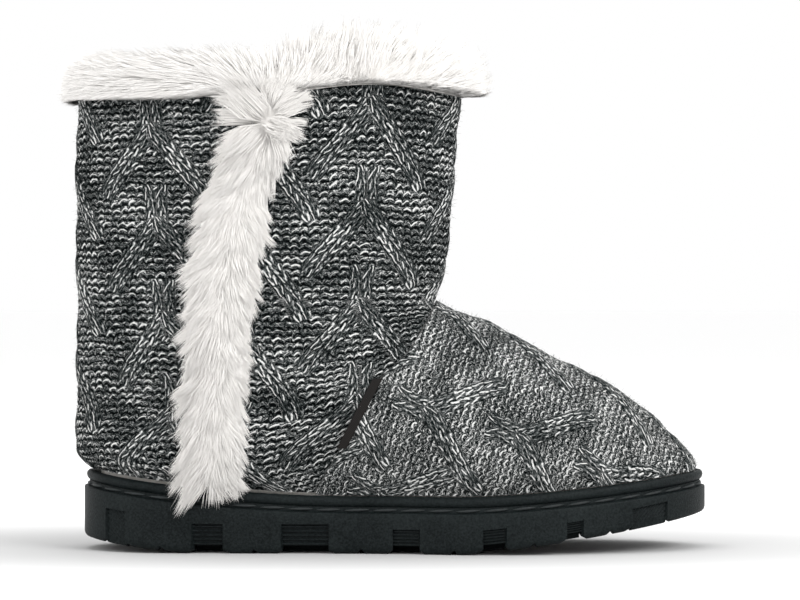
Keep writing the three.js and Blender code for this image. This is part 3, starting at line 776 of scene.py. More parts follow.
def ground_stitches(finish, side, along, patch, groove, hairy):
    """Shade and height of the ground between the ropes: a shade is 0 for black and 1 for white."""
    arch = finish.math("ABSOLUTE", finish.math("SINE", side * (math.pi / stitch_width)))
    phase = along / course_pitch - arch * loop_rise
    fibre = yarn_noise(finish, "hair", side, phase)
    shaded_gap = finish.ramp_up(finish.math("ABSOLUTE", finish.math("FRACT", phase) * 2 - 1), 0.35, 1.0)
    strokes = 0
    ridge = fibre * 0.5 - shaded_gap * groove * 1.6
    for row in stitch_rows:
        rise = phase + row["shift"] + arch * row["dip"]
        course = finish.math("FLOOR", rise)
        stagger = finish.math("FRACT", course * course_stagger["step"]) * course_stagger["far"]
        stitch = side / stitch_width + row["shift"] + stagger
        chance = luck(finish, finish.math("FLOOR", stitch) + row["seed"], course)
        place = (finish.math("FRACT", stitch), finish.math("FRACT", rise))
        stroke = dash(finish, place, chance, 0.12, row["half"])
        lit = finish.ramp_up(chance[0] + patch * 1.7, row["dark"], 1.0)
        strokes = strokes + stroke * (0.05 + row["light"] * lit)
        ridge = ridge + stroke * row["light"]
    # Painted shade: the gaps between courses are darkened, on top of the dark ply that shows there.
    yarn = 0.25 + groove * 0.3 + fibre * hairy - shaded_gap * groove
    return yarn + strokes * (1 + fibre * dash_fibre), ridge


def rope_stitches(finish, down, across, patch):
    """Shade and height of the ropes: legs of stitches that lean to and fro in their lanes."""
    bend = yarn_noise(finish, "bend", down, across)
    lane = across / strand_width + lane_offset + bend * lane_bend["across"]
    strand = finish.math("FLOOR", lane)
    turn = finish.math("FRACT", strand * 0.5) * 2
    start = finish.math("FRACT", finish.math("FLOOR", strand * 0.5) * lane_stagger)
    step = down / rope_stitch + start + bend * lane_bend["down"]
    chance = luck(finish, strand, finish.math("FLOOR", step))
    place = (finish.math("FRACT", step), finish.math("FRACT", lane))
    fibre = yarn_noise(finish, "rope hair", down, across)
    stroke = dash(finish, place, chance, rope_row["lean"] - turn * rope_row["turn"], rope_row["half"])
    lit = finish.ramp_up(chance[0] + patch * 1.6, 0.0, 0.9)
    # Painted shade: the gaps between the rope's lanes are darkened a little, on top of the dark ply.
    shaded_gap = finish.ramp_up(finish.math("ABSOLUTE", place[1] * 2 - 1), 0.5, 1.0)
    yarn = 0.33 + fibre * 2.3 - shaded_gap * 0.15
    dashes = stroke * (rope_row["least"] + rope_row["light"] * lit)
    return yarn + dashes * (1 + fibre * dash_fibre), stroke * 0.8 + fibre * 0.6 - shaded_gap * 0.25


def knit_finish(name, painted_light, groove, hairy):
    """Marled knit: groove is how dark the gaps between courses are, a painted shade there on top of the
    dark ply, and hairy how strong its fibres; the last lift of every shade is painted light.
    """
    finish = Finish(name, Roughness=1.0, Specular_IOR_Level=0.0)
    side, along, _ = finish.attribute("weave")
    down, across, mask = finish.attribute("rope")
    patch = yarn_noise(finish, "patch", side, along)
    ground, ground_ridge = ground_stitches(finish, side, along, patch, groove, hairy)
    ropes, rope_ridge = rope_stitches(finish, down, across, patch)
    on_rope = finish.ramp_up(mask, 0.04, 0.4)
    # The last lift of the shade is painted light, strongest on the vamp.
    shade = ground + (ropes - ground) * on_rope + patch * 0.3 + painted_light
    ridge = ground_ridge + (rope_ridge - ground_ridge) * on_rope
    finish.set(Base_Color=finish.node("ValToRGB", {"stops": knit_tones}, {0: shade}))
    finish.set(Normal=finish.bump(ridge, 0.0005, 0.8))
    print(f"{name}: {len(finish.tree.nodes)} nodes")
    return finish.material


shaft_knit = knit_finish("marled_knit", painted_light=0.005, groove=0.36, hairy=2.8)
panels = [shaft_panel(**part, finish=shaft_knit) for part in shaft_parts]

# %% [markdown]
# The vamp is knitted from the instep towards the toe, so its courses stand up the sides of the
# foot, leaning a little forward. Each course is a slanted cut through the last. We find where such
# a plane meets the face and walk along that line from the ridge of the instep down to the hem.

# %% Courses of the vamp
vamp_tilt = 0.36
vamp_begin = 88
halvings = 26
section_heights = {"low": 20, "high": 107, "samples": 1200}
section_samples = 260
vamp_courses = 300
vamp_shares = 160


def level_at(x, z):
    """The level of the face at a point below the throat, found by halving."""
    low = np.zeros_like(z)
    high = np.ones_like(z)
    for _ in range(halvings):
        middle = (low + high) / 2
        under = face_height(middle, x, np.zeros_like(z)) < z
        low = np.where(under, middle, low)
        high = np.where(under, high, middle)
    return (low + high) / 2


def width_at(x, z):
    """Middle line and half width of the face at a point of its side view."""
    level = level_at(x, z)
    back, front = face_ends(level)
    share = np.clip((x - back) / (front - back), 0, 1)
    middle, half = face_half(level, share, x)
    return middle, np.where(x < front, half, 0)


def ridge_and_hem(c):
    """Heights where the slanted plane x = c + tilt z leaves the face at its front and at its hem."""
    z = np.linspace(section_heights["low"], section_heights["high"], section_heights["samples"])
    x = c + vamp_tilt * z
    level = level_at(x, z)
    inside = (x <= face_ends(level)[1]) & (level > hem_level * 0.8)
    return z[inside].max(), z[inside].min()


def slanted_section(c):
    """One side of a slanted section, from the ridge down to the hem."""
    top, hem = ridge_and_hem(c)
    z = top - (top - hem) * np.linspace(0, 1, section_samples) ** 2
    x = c + vamp_tilt * z
    middle, half = width_at(x, z)
    half[0] = 0
    points = np.stack([x, half, z], axis=1)
    return points, middle, path_length(points)


def vamp_table():
    """By course and share of the half girth: x, half width, z, middle line and distance down."""
    toe = face(hem_level, math.pi)
    courses = np.linspace(vamp_begin, toe[0] - vamp_tilt * toe[2] - 0.5, vamp_courses)
    share = np.linspace(0, 1, vamp_shares)
    table = np.zeros((vamp_courses, vamp_shares, 5))
    for k, c in enumerate(courses):
        points, middle, along = slanted_section(c)
        at = share * along[-1]
        for axis in range(3):
            table[k, :, axis] = np.interp(at, along, points[:, axis])
        table[k, :, 3] = np.interp(at, along, middle)
        table[k, :, 4] = at
    return courses, share, table


vamp_faces = vamp_table()
print("vamp table:", vamp_faces[2].shape)

# %% [markdown]
# The vamp's grid then starts at the seam, whose course differs from place to place, and ends at the
# toe. Between the courses of the table we mix neighbours, and lay the same motifs over the grid.

# %% Vamp panel
vamp_grid = {"across": 313, "along": 216}
vamp_ease = 0.6
vamp_fineness = {"side": 1.25, "along": 1.1}
seam_top = 106.6
seam_smoothing = 12
# Columns of motifs on the vamp, by their distance from the ridge of the instep: the course of the
# second crossing, and how far each crossing is shifted sideways from the one before it.
vamp_columns = [
    {"at": -78, "first": 123, "shift": 4.5},
    {"at": -36, "first": 118, "shift": 2},
    {"at": 6, "first": 107, "shift": 0},
    {"at": 69, "first": 125, "shift": -4.5},
    {"at": 112, "first": 119, "shift": -4},
]
vamp_pitch = 42
vamp_crossings = range(-1, 4)


def seam_courses(courses, table):
    """For each share of the half girth, the course at which the vamp leaves the seam."""
    ahead = table[..., 0] - seam_x(np.minimum(table[..., 2], seam_top))
    begin = courses[np.argmax(ahead > 0, axis=0)]
    for _ in range(seam_smoothing):
        begin[1:-1] = (begin[:-2] + 2 * begin[1:-1] + begin[2:]) / 4
    return begin


def between(table, row, column):
    """What a table says between its rows and columns."""
    top = np.clip(row.astype(int), 0, table.shape[0] - 2)
    left = np.clip(column.astype(int), 0, table.shape[1] - 2)
    down, over = (row - top)[..., None], (column - left)[..., None]
    near = table[top, left] * (1 - over) + table[top, left + 1] * over
    far = table[top + 1, left] * (1 - over) + table[top + 1, left + 1] * over
    return near * (1 - down) + far * down


def vamp_panel(finish):
    courses, share, table = vamp_faces
    across = np.linspace(-1, 1, vamp_grid["across"])
    ahead = np.linspace(0, 1, vamp_grid["along"])[:, None]
    start = np.interp(np.abs(across), share, seam_courses(courses, table))
    c = start + (courses[-1] - start) * ahead
    rank = (c - courses[0]) / (courses[1] - courses[0])
    place = np.broadcast_to(np.abs(across) * (vamp_shares - 1), c.shape)
    x, half, z, middle, distance = np.moveaxis(between(table, rank, place), -1, 0)
    outer = np.sign(across)
    points = np.stack([x, middle - outer * half, z], axis=-1)
    side = outer * distance
    relief = bare_relief(side.shape)
    for column in vamp_columns:
        for k in vamp_crossings:
            at = column["at"] + k * column["shift"]
            lay_motif(side - at, c - (column["first"] + k * vamp_pitch), 1, relief)
    stitches = uneven(side * vamp_fineness["side"], -c * vamp_fineness["along"])
    normals = grid_normals(points)
    return knit_panel("knit_vamp", points, normals, stitches, relief, c - start, vamp_ease, finish)


# Painted light: the vamp's knit is lifted lighter than the shaft's, where the top of the foot faces the
# lamps.
vamp_knit = knit_finish("marled_knit_vamp", painted_light=0.045, groove=0.2, hairy=3.9)
panels.append(vamp_panel(vamp_knit))

# %% [markdown]
# Inside, the shaft is lined with short fleece, which shows when we look down into it, and the same
# fleece covers the footbed. The lining is the upper's face again, a wall's thickness further in, so
# it can't cut through the knit. The footbed is rings of the sole's outline, closed by two polygons.

# %% Fleece lining and footbed
insole_thickness = 5
footbed_turns = 240
# The footbed's edge from below, and then the shares of the outline that lead to its middle.
footbed_edge = [
    {"inset": 0, "up": 0}, {"inset": 0, "up": 3.7}, {"inset": 0.6, "up": 4.6},
    {"inset": 1.8, "up": insole_thickness},
]
footbed_shares = (0.85, 0.65, 0.4, 0.15)
lining_grid = {"levels": 70, "turns": 160, "top": 1.97}


def fleece_finish():
    finish = Finish("short_fleece", Roughness=0.95, Sheen_Weight=0.3)
    place = finish.object_place()
    tufts = finish.noise(place, 420.0, 3.0, 0.65)
    soft = finish.noise(place, 60.0, 2.0)
    light = tufts * 0.7 + soft * 0.3
    finish.set(Base_Color=finish.blend(light, (0.52, 0.49, 0.45), (0.86, 0.84, 0.81)))
    finish.set(Normal=finish.bump(tufts, 0.0015, 0.8))
    return finish.material


def lining(finish):
    levels, turns = lining_grid["levels"], lining_grid["turns"]
    level = np.linspace(hem_level, lining_grid["top"], levels)[:, None]
    turn = np.linspace(0, 2 * math.pi, turns, endpoint=False)[None, :]
    points = face(level, turn) - wall * face_normal(level, turn)
    faces = grid_faces(levels, turns, closed=True)[:, ::-1]
    piece = make_mesh("fleece_lining", points, faces, finish)
    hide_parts("knit_upper")


def footbed(finish):
    turn = np.linspace(0, 2 * math.pi, footbed_turns, endpoint=False)
    inset = rim_thickness + wall + 3 * clearance
    rings = []
    for row in footbed_edge:
        x, y = outline(turn, inset + row["inset"])
        rings.append(np.stack([x, y, rim_top(x) - floor_depth + clearance + row["up"]], axis=-1))
    for share in footbed_shares:
        inner_x = mix(sole_length / 2, x, share)
        top = rim_top(inner_x) - floor_depth + clearance + insole_thickness
        rings.append(np.stack([inner_x, y * share, top], axis=-1))
    faces = grid_faces(len(rings), footbed_turns, closed=True).tolist()
    last = (len(rings) - 1) * footbed_turns
    faces += [list(range(footbed_turns - 1, -1, -1)), list(range(last, last + footbed_turns))]
    piece = make_mesh("footbed", np.array(rings), faces, finish)
    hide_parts("insole")


fleece = fleece_finish()
lining(fleece)
footbed(fleece)

# %% [markdown]
# The sole is one rubber moulding. Its side steps from the tread through ribbed recesses and a
# stitched groove to a round lip. The grid follows those edges: where a recess begins, two columns
# of points lie almost on each other, which gives a crisp corner without any boolean.

# %% Sizes of the tread
tread_depth = 3.4
tread_reach = 14
recess_depth = 1.8
rib_height = 0.9
rib_count = 5
v_notch_width = 3.4
v_notch_depth = 2
hatch_pitch = 1.9
lug_chamfer = 2.4
chamfer_rise = 1.6
recess_names = ("begins", "width", "height", "hatch")
recess_rows = [
    dict(zip(recess_names, row))
    for row in [
        (0.042, 0.032, 0.42, 1),
        (0.18, 0.049, 0.36, 0),
        (0.321, 0.074, 0.36, 0),
        (0.496, 0.042, 0.3, 0),
        (0.637, 0.036, 0.28, 0),
        (0.768, 0.026, 0.235, 0),
        (0.873, 0.057, 0.26, -1),
    ]
]
v_notch_stations = [0.129, 0.277, 0.446, 0.592, 0.717, 0.839]
crisp = 0.0003
station_count = 300
hatch_step = 0.45


def turn_at(share):
    return math.acos(1 - 2 * share)


def sole_stations():
    """Turns from heel to toe, with a close pair at each edge of a recess and points at each notch."""
    turns = list(np.linspace(0, math.pi, station_count))
    for row in recess_rows:
        begin, end = row["begins"], row["begins"] + row["width"]
        chamfer = lug_chamfer / sole_length
        turns += [turn_at(s) for s in (begin - chamfer, begin - crisp, begin + crisp)]
        turns += [turn_at(s) for s in (end - crisp, end + crisp, end + chamfer)]
        if row["hatch"]:
            turns += [turn_at(s) for s in np.arange(begin + 3 * crisp, end, hatch_step / sole_length)]
    for share in v_notch_stations:
        half = v_notch_width / 2 / sole_length
        turns += [turn_at(s) for s in (share - half, share, share + half)]
    return np.array(sorted(turns))


# %% [markdown]
# The side of the sole is a stack of rows, each a height and an inset from the outline: the round
# lower edge, the lug with its ribs, the ledge, the groove and the lip. Low rows are measured up
# from the underside and high rows down from the rim, so both ends can climb by themselves.

# %% Side of the sole
lug_height_share = 0.36
ledge_room = 1
hatch_slope = 1.1
hatch_relief = 0.55
# One rib's section: shares of the ribs' pitch, and 1 where it stands out.
rib_section = ((0.15, 0), (0.3, 1), (0.6, 1), (0.75, 0))


def side_profile():
    """Rows of the side: heights up from the underside, or down from the rim, with their insets."""
    rows = []
    for angle in np.radians([0, 30, 60, 90]):
        up = edge_rounding * (1 - math.cos(angle))
        rows.append({"up": up, "inset": edge_rounding * (1 - math.sin(angle))})
    rows += [{"up": up, "inset": 0} for up in (tread_depth - 0.1, tread_depth)]
    for rib in range(rib_count):
        for share, out in rib_section:
            rows.append({"rib": (rib + share) / rib_count, "out": out, "inset": 0})
    rows += [{"rib": 0.999, "out": 0, "inset": 0}, {"rib": 1.01, "inset": 0}]
    ledge = rim_height + groove_height
    rows += [
        {"down": ledge + 0.9, "inset": 0}, {"down": ledge + 0.3, "inset": 0.25},
        {"down": ledge, "inset": rim_setback}, {"down": ledge - 0.3, "inset": groove_depth},
        {"down": rim_height + 0.1, "inset": groove_depth},
    ]
    for angle in np.radians([-80, -55, -30, 0, 30, 60, 90]):
        rows.append({
            "down": rim_height / 2 * (1 - math.sin(angle)),
            "inset": rim_setback + (rim_thickness - rim_setback) * (1 - math.cos(angle)),
        })
    rows += [{"down": down, "inset": rim_thickness + 0.1} for down in (1.5, floor_depth)]
    return rows


def tread_facts(share):
    """For each station: the recess it lies in, its height, and how far notches lift the edge."""
    facts = {name: np.zeros(len(share)) for name in ("ribbed", "hatch", "lift")}
    facts["height"] = np.full(len(share), lug_height_share * heel_height)
    for row in recess_rows:
        begin, end = row["begins"], row["begins"] + row["width"]
        inside = (share > begin) & (share < end)
        facts["height"][inside] = row["height"] * heel_height
        facts["hatch" if row["hatch"] else "ribbed"][inside] = row["hatch"] or 1
        apart = np.maximum(begin - share, share - end) * sole_length
        chamfer = chamfer_rise * np.clip(1 - apart / lug_chamfer, 0, 1)
        facts["lift"] = np.maximum(facts["lift"], np.where(inside, 0, chamfer))
    for station in v_notch_stations:
        depth = 1 - np.abs(share - station) * sole_length / (v_notch_width / 2)
        facts["lift"] = np.maximum(facts["lift"], v_notch_depth * np.maximum(0, depth))
    return facts


def side_ring(row, turns, facts):
    """One row of points all round the sole's side."""
    inset = np.full(len(turns), float(row["inset"]))
    if "down" in row:
        x, y = outline(turns, inset[0])
        return np.stack([x, y, rim_top(x) - row["down"]], axis=-1)
    share = (1 - np.cos(turns)) / 2
    x, _ = outline(turns, 0)
    room = rim_top(x) - underside(x) - rim_height - groove_height - ledge_room
    height = np.minimum(facts["height"], room)
    up = mix(tread_depth, height, row["rib"]) if "rib" in row else np.full(len(turns), row["up"])
    if row.get("rib", 0) < 1:
        back = recess_depth - rib_height * row.get("out", 0)
        slant = (up + facts["hatch"] * share * sole_length * hatch_slope) / hatch_pitch
        cut = recess_depth * 0.5 + hatch_relief * np.abs((slant % 1) * 2 - 1)
        inset = np.where(facts["ribbed"] > 0, back, inset)
        inset = np.where(facts["hatch"] != 0, np.maximum(inset, cut), inset)
    up = np.where(facts["ribbed"] > 0, np.maximum(up, tread_depth), np.maximum(up, facts["lift"]))
    x, y = np.array([outline(turn, depth) for turn, depth in zip(turns, inset)]).T
    return np.stack([x, y, underside(x) + up], axis=-1)


# %% [markdown]
# Moulded rubber is nearly black, with a fine matt grain from the mould and only a soft gloss, so
# its reflection is kept low and its roughness drifts a little from place to place.

# %% Rubber finish
rubber_grain = 1100.0


def rubber_finish():
    finish = Finish("moulded_rubber", Specular_IOR_Level=0.1)
    place = finish.object_place()
    grain = finish.noise(place, rubber_grain, 3.0, 0.7)
    cloud = finish.noise(place, 35.0, 2.0)
    light = finish.ramp_up(cloud * 0.3 + grain * 0.7, 0.3, 0.7)
    finish.set(Base_Color=finish.blend(light, (0.0008, 0.0024, 0.0027), (0.0142, 0.0186, 0.0192)))
    finish.set(Roughness=0.42 + 0.2 * cloud)
    finish.set(Normal=finish.bump(grain, 0.0004, 0.6))
    return finish.material


rubber = rubber_finish()

# %% [markdown]
# Under the sole, each station gets a row of points from the outer edge to the inner one. Between the
# lugs the middle lies at full depth and the sides are open, which makes the tread. The rows and the
# rings of the side are then joined into one closed surface, with sharp edges only where it turns.

# %% Rubber sole
tread_step = 0.002
sole_sharp = 38


def bottom_points(bottom, facts, half_count):
    """Points across the underside at each station, with the gaps between lugs open to the side."""
    count = len(bottom)
    across = []
    for j in range(1, half_count - 1):
        outer, inner = bottom[j], bottom[count - j]
        width = np.linalg.norm(outer - inner)
        reach = min(tread_reach, width * 0.4) / width
        shares = np.array([reach * 0.5, reach - tread_step, reach + tread_step, 0.5])
        shares = np.concatenate([shares, 1 - shares[2::-1]])
        points = outer + (inner - outer) * shares[:, None]
        low = underside(points[:, 0])
        middle = (shares > reach) & (shares < 1 - reach)
        points[:, 2] = np.where(middle & (facts["ribbed"][j] > 0), low, points[:, 2])
        across.append(points)
    return across


def rubber_sole(finish):
    half_turns = sole_stations()
    turns = np.concatenate([half_turns, 2 * math.pi - half_turns[-2:0:-1]])
    facts = tread_facts((1 - np.cos(turns)) / 2)
    rings = np.array([side_ring(row, turns, facts) for row in side_profile()])
    count = len(turns)
    last = len(half_turns) - 1
    across = bottom_points(rings[0], facts, len(half_turns))
    faces = grid_faces(len(rings), count, closed=True).tolist()
    index = len(rings) * count
    strips = []
    for j, points in enumerate(across, start=1):
        strips.append([j, *range(index, index + len(points)), count - j])
        index += len(points)
    for first, second in zip(strips[:-1], strips[1:]):
        faces += [(first[k + 1], first[k], second[k], second[k + 1]) for k in range(len(first) - 1)]
    ends = range(len(strips[0]) - 1)
    faces += [(0, strips[0][k], strips[0][k + 1]) for k in ends]
    faces += [(last, strips[-1][k + 1], strips[-1][k]) for k in ends]
    points = np.concatenate([rings.reshape(-1, 3), *across])
    piece = make_mesh("rubber_sole", points, faces, finish)
    piece.data.set_sharp_from_angle(angle=math.radians(sole_sharp))
    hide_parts("outsole")


rubber_sole(rubber)

# %% [markdown]
# A thick thread is sewn round in the groove under the lip, one long stitch after another. Each
# stitch is a capsule laid along the groove and bedded at its ends; a loop makes them all.

# %% Stitches in the groove
stitch_pitch = 11.6
stitch_length = 10.2
stitch_thickness = 1.5
stitch_slant = 0.25
stitch_rings = 7
stitch_sides = 6
groove_samples = 4000


def thread_finish():
    finish = Finish("waxed_thread", Roughness=0.5, Specular_IOR_Level=0.25)
    twist = finish.noise(finish.object_place(), 1100.0, 2.0)
    finish.set(Base_Color=finish.blend(twist, (0.008, 0.0105, 0.011), (0.03, 0.036, 0.037)))
    finish.set(Normal=finish.bump(twist, 0.0003, 0.6))
    return finish.material


def groove_line():
    """Points along the middle of the groove, all the way round."""
    x, y = outline(np.linspace(0, 2 * math.pi, groove_samples), groove_depth - 0.35)
    return np.stack([x, y, rim_top(x) - rim_height - groove_height * 0.55], axis=-1)


def one_stitch(centres):
    """Rings of points round a stitch's centres, thin and bedded at its ends."""
    end = 0.12
    thickness = stitch_thickness / 2 * np.sqrt(np.sin(np.linspace(end, math.pi - end, stitch_rings)))
    outward = unit(np.cross(unit(np.gradient(centres, axis=0)), [0, 0, 1]))
    centres = centres + outward * (thickness[:, None] - stitch_thickness / 2)
    centres[:, 2] += np.linspace(-stitch_slant, stitch_slant, stitch_rings)
    sides = []
    for k in range(stitch_sides):
        angle = 2 * math.pi * k / stitch_sides
        offset = outward * math.cos(angle) * thickness[:, None]
        offset[:, 2] += math.sin(angle) * thickness
        sides.append(centres + offset)
    return np.stack(sides, axis=1).reshape(-1, 3)


def groove_stitches(finish):
    line = groove_line()
    along = path_length(line)
    count = int(along[-1] / stitch_pitch)
    size = stitch_rings * stitch_sides
    capsule = grid_faces(stitch_rings, stitch_sides, closed=True).tolist()
    capsule += [list(range(stitch_sides))[::-1], list(range(size - stitch_sides, size))]
    points, faces = [], []
    for stitch in range(count):
        spots = (stitch + 0.5) * along[-1] / count
        spots = (spots + np.linspace(-0.5, 0.5, stitch_rings) * stitch_length) % along[-1]
        centres = np.stack([np.interp(spots, along, line[:, k]) for k in range(3)], axis=-1)
        points.append(one_stitch(centres))
        faces += [[corner + stitch * size for corner in corners] for corners in capsule]
    piece = make_mesh("groove_stitches", np.concatenate(points), faces, finish)
    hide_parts("outsole")


groove_stitches(thread_finish())

# %% [markdown]
# Faux fur is thousands of soft fibres in pointed locks. Blender's hair would render well, but a
# part has to be a mesh, so each fibre is a slim spindle: a point at its root, a bent middle with
# three sides, and a point at its tip. Fibres near each other lean towards one tip, and that makes
# the locks. Real fibres let light through, so the pile looks smooth and bright. We get that look by
# giving the fibres the normals of the skin that they grow on, and never one that points down.

# %% Fur fibres
fibre_sides = 3
fibre_points = fibre_sides + 2
fibre_faces = [(0, 1, 2), (0, 2, 3), (0, 3, 1), (2, 1, 4), (3, 2, 4), (1, 3, 4)]
fibre_block = 2000
middle_sag = 0.22
middle_pull = 0.45
fibre_roundness = 0.35
fibre_twist = 0.3
backing_tone = 0.4


def nearest_leader(roots, leaders):
    """For each root which leader is nearest, worked out in blocks to save memory."""
    nearest = np.zeros(len(roots), int)
    for begin in range(0, len(roots), fibre_block):
        block = roots[begin:begin + fibre_block]
        apart = ((block[:, None, :] - roots[leaders][None]) ** 2).sum(axis=2)
        nearest[begin:begin + fibre_block] = apart.argmin(axis=1)
    return nearest


def gathered(points, leaders, nearest, pull):
    return points + (points[leaders][nearest] - points) * pull


def fibre_shape(roots, middle, tip, skin, widths, twist):
    """Each fibre's five points, with normals close to those of the skin."""
    across = unit(np.cross(unit(tip - roots), skin))
    outward = np.cross(across, unit(tip - roots))
    points, normals = [roots], [skin]
    for k in range(fibre_sides):
        angle = (math.pi / 6 + 2 * math.pi * k / fibre_sides + twist)[:, None]
        offset = across * np.cos(angle) + outward * np.sin(angle)
        points.append(middle + offset * widths[:, None] / 2)
        normals.append(unit(skin + offset * fibre_roundness))
    normals = np.stack([*normals, skin], axis=1).reshape(-1, 3)
    normals[:, 2] = np.maximum(normals[:, 2], 0)
    return np.stack([*points, tip], axis=1), unit(normals)


def pile(name, fibres, locks, finish, seed):
    """Closed fibres in mm: where they grow and how far, and how they come together in locks."""
    rng = np.random.default_rng(seed)
    roots, skin, sag = fibres["roots"], fibres["skin"], fibres["sag"]
    lengths = fibres["lengths"][:, None]
    count = len(roots)
    aims = unit(fibres["aims"])
    middle = roots + aims * lengths * 0.5 + sag * middle_sag
    tip = roots + aims * lengths + sag
    leaders = rng.choice(count, locks["count"], replace=False)
    tip[leaders] += lengths[leaders] * rng.normal(0, locks["wild"], (locks["count"], 3))
    nearest = nearest_leader(roots, leaders)
    pull = (locks["gather"] * rng.uniform(0.4, 1, count))[:, None]
    tip = gathered(tip, leaders, nearest, pull)
    middle = gathered(middle, leaders, nearest, pull * middle_pull)
    twist = rng.normal(0, fibre_twist, count)
    points, normals = fibre_shape(roots, middle, tip, skin, fibres["widths"], twist)
    base = np.arange(count)[:, None] * fibre_points
    faces = np.concatenate([base + np.array(corners)[None] for corners in fibre_faces])
    piece = make_mesh(name, points, faces, finish)
    piece.data.normals_split_custom_set_from_vertices(normals)
    share = np.tile([0, 0.5, 0.5, 0.5, 1], count)
    tone = np.repeat(rng.uniform(*locks["tones"], count), fibre_points)
    write_attribute(piece, "fibre", np.stack([share, tone, np.zeros_like(tone)], axis=-1))
    return piece


def fur_finish():
    """White fur, a little warmer and darker at the roots and from fibre to fibre."""
    finish = Finish("white_fur", Roughness=0.9, Specular_IOR_Level=0.1)
    share, tone, _ = finish.attribute("fibre")
    light = share * 0.2 + tone * 0.8
    finish.set(Base_Color=finish.blend(light, (0.77, 0.746, 0.715), (0.925, 0.908, 0.886)))
    return finish.material


fur = fur_finish()

# %% [markdown]
# The collar is a roll of fur astride the top edge. On the outer side it is gathered to one point,
# the pinch, where the strip begins. Behind the pinch the pile is brushed back and lies close, and
# ahead of it the roll is taller and its pile stands up like a crest. A solid core keeps daylight
# from showing between the fibres, and both take their places from one formula for the roll.

# %% Core of the collar
collar_out = 4.5
collar_up = 13.0
collar_in = 6.5
collar_heel = {"slimmer": 1.6, "turn": 0.4}
collar_hang = {"heel": 0.8, "back": 3.0, "front": 0.8, "turn": 0.9, "least": 0.6}
collar_lift = {"behind": 2.0, "ahead": 1.0}
collar_dip = {"width": 0.14, "depth": 4.0}
collar_crest = {"at": 1.85, "width": 0.6, "height": 4.5}
core_grow = -2.4
core_grid = {"rows": 20, "columns": 200}
pinch_x = 79.7
pinch_z = 178
pinch_level = 1.86
pinch_reach = 34
parting_blur = 0.09


def outer_turn(level, x):
    """The turn on the outer side at which a level reaches a distance from the back of the sole."""
    back, front = face_ends(level)
    return np.arccos(np.clip(1 - 2 * (x - back) / (front - back), -1, 1))


collar_parting = float(outer_turn(2.0, pinch_x))
pinch_height = 1 + (pinch_z - throat_height) / (collar_height - throat_height)
pinch = face(pinch_height, outer_turn(pinch_level, pinch_x))
print("pinch at", pinch.round(1), "parting at turn", round(collar_parting, 2))


def fold_over(turn):
    """The turn as seen from the outer side, and 1 ahead of the parting, 0 behind it."""
    mirrored = np.where(turn > math.pi, 2 * math.pi - turn, turn)
    return mirrored, 1 / (1 + np.exp(-(mirrored - collar_parting) / parting_blur))


def by_parting(sizes, ahead):
    return mix(sizes["behind"], sizes["ahead"], ahead)


def at_heel(mirrored):
    """1 at the middle of the back, and 0 away from it."""
    return np.exp(-mirrored / collar_heel["turn"])


def dipped(mirrored):
    """1 at the parting above the pinch, where the roll is drawn in, and 0 away from it."""
    return np.exp(-((mirrored - collar_parting) / collar_dip["width"]) ** 2)


def collar_place(turn, angle, grow):
    """Points, normals and the way round on the roll: angle 0 points out, 90 degrees up."""
    edge = face(2.0, turn)
    outward = unit(face_normal(np.full_like(turn, 1.98), turn) * [1, 1, 0])
    mirrored, ahead = fold_over(turn)
    to_side = np.clip(mirrored / collar_hang["turn"], 0, 1)
    hang = mix(mix(collar_hang["heel"], collar_hang["back"], to_side), collar_hang["front"], ahead)
    outer = collar_out - collar_heel["slimmer"] * at_heel(mirrored)
    wide = np.where(np.cos(angle) > 0, outer, collar_in) + wall / 2 + grow
    crest = np.exp(-((mirrored - collar_crest["at"]) / collar_crest["width"]) ** 2)
    crown = collar_up + collar_crest["height"] * crest * ahead - collar_dip["depth"] * dipped(mirrored)
    below = np.maximum(hang, collar_hang["least"] - grow)
    tall = np.where(np.sin(angle) > 0, crown, below) + grow
    points = edge + outward * (np.cos(angle) * wide - wall / 2)[..., None]
    points[..., 2] += np.sin(angle) * tall + by_parting(collar_lift, ahead)
    normals = outward * (np.cos(angle) / wide)[..., None]
    normals[..., 2] += np.sin(angle) / tall
    around = np.stack([-outward[..., 1], outward[..., 0], np.zeros_like(turn)], axis=-1)
    return points, unit(normals), around


def collar_core(finish):
    rows, columns = core_grid["rows"], core_grid["columns"]
    angle = np.linspace(0, 2 * math.pi, rows, endpoint=False)
    turn = np.linspace(0, 2 * math.pi, columns, endpoint=False)
    points, normals, _ = collar_place(*np.meshgrid(turn, angle), core_grow)
    normals[..., 2] = np.maximum(normals[..., 2], 0)
    last = np.arange(columns)
    after = (last + 1) % columns
    top = (rows - 1) * columns
    bridge = np.stack([top + last, top + after, after, last], axis=-1)
    faces = np.concatenate([grid_faces(rows, columns, closed=True), bridge])
    piece = make_mesh("fur_collar_core", points, faces, finish)
    piece.data.normals_split_custom_set_from_vertices(unit(normals).reshape(-1, 3))
    write_attribute(piece, "fibre", np.full((rows * columns, 3), backing_tone))
    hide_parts("fur_collar")


collar_core(fur)

# %% [markdown]
# The collar's fibres are strewn over the roll by chance. How each one lies is a sum of a few habits:
# it leaves the skin, is brushed round the roll in slow waves, hangs outward under the edge, stands
# up in the crest, and turns away from the pinch where that is near. One half of the roll is made
# after the other, so that no piece grows too large.

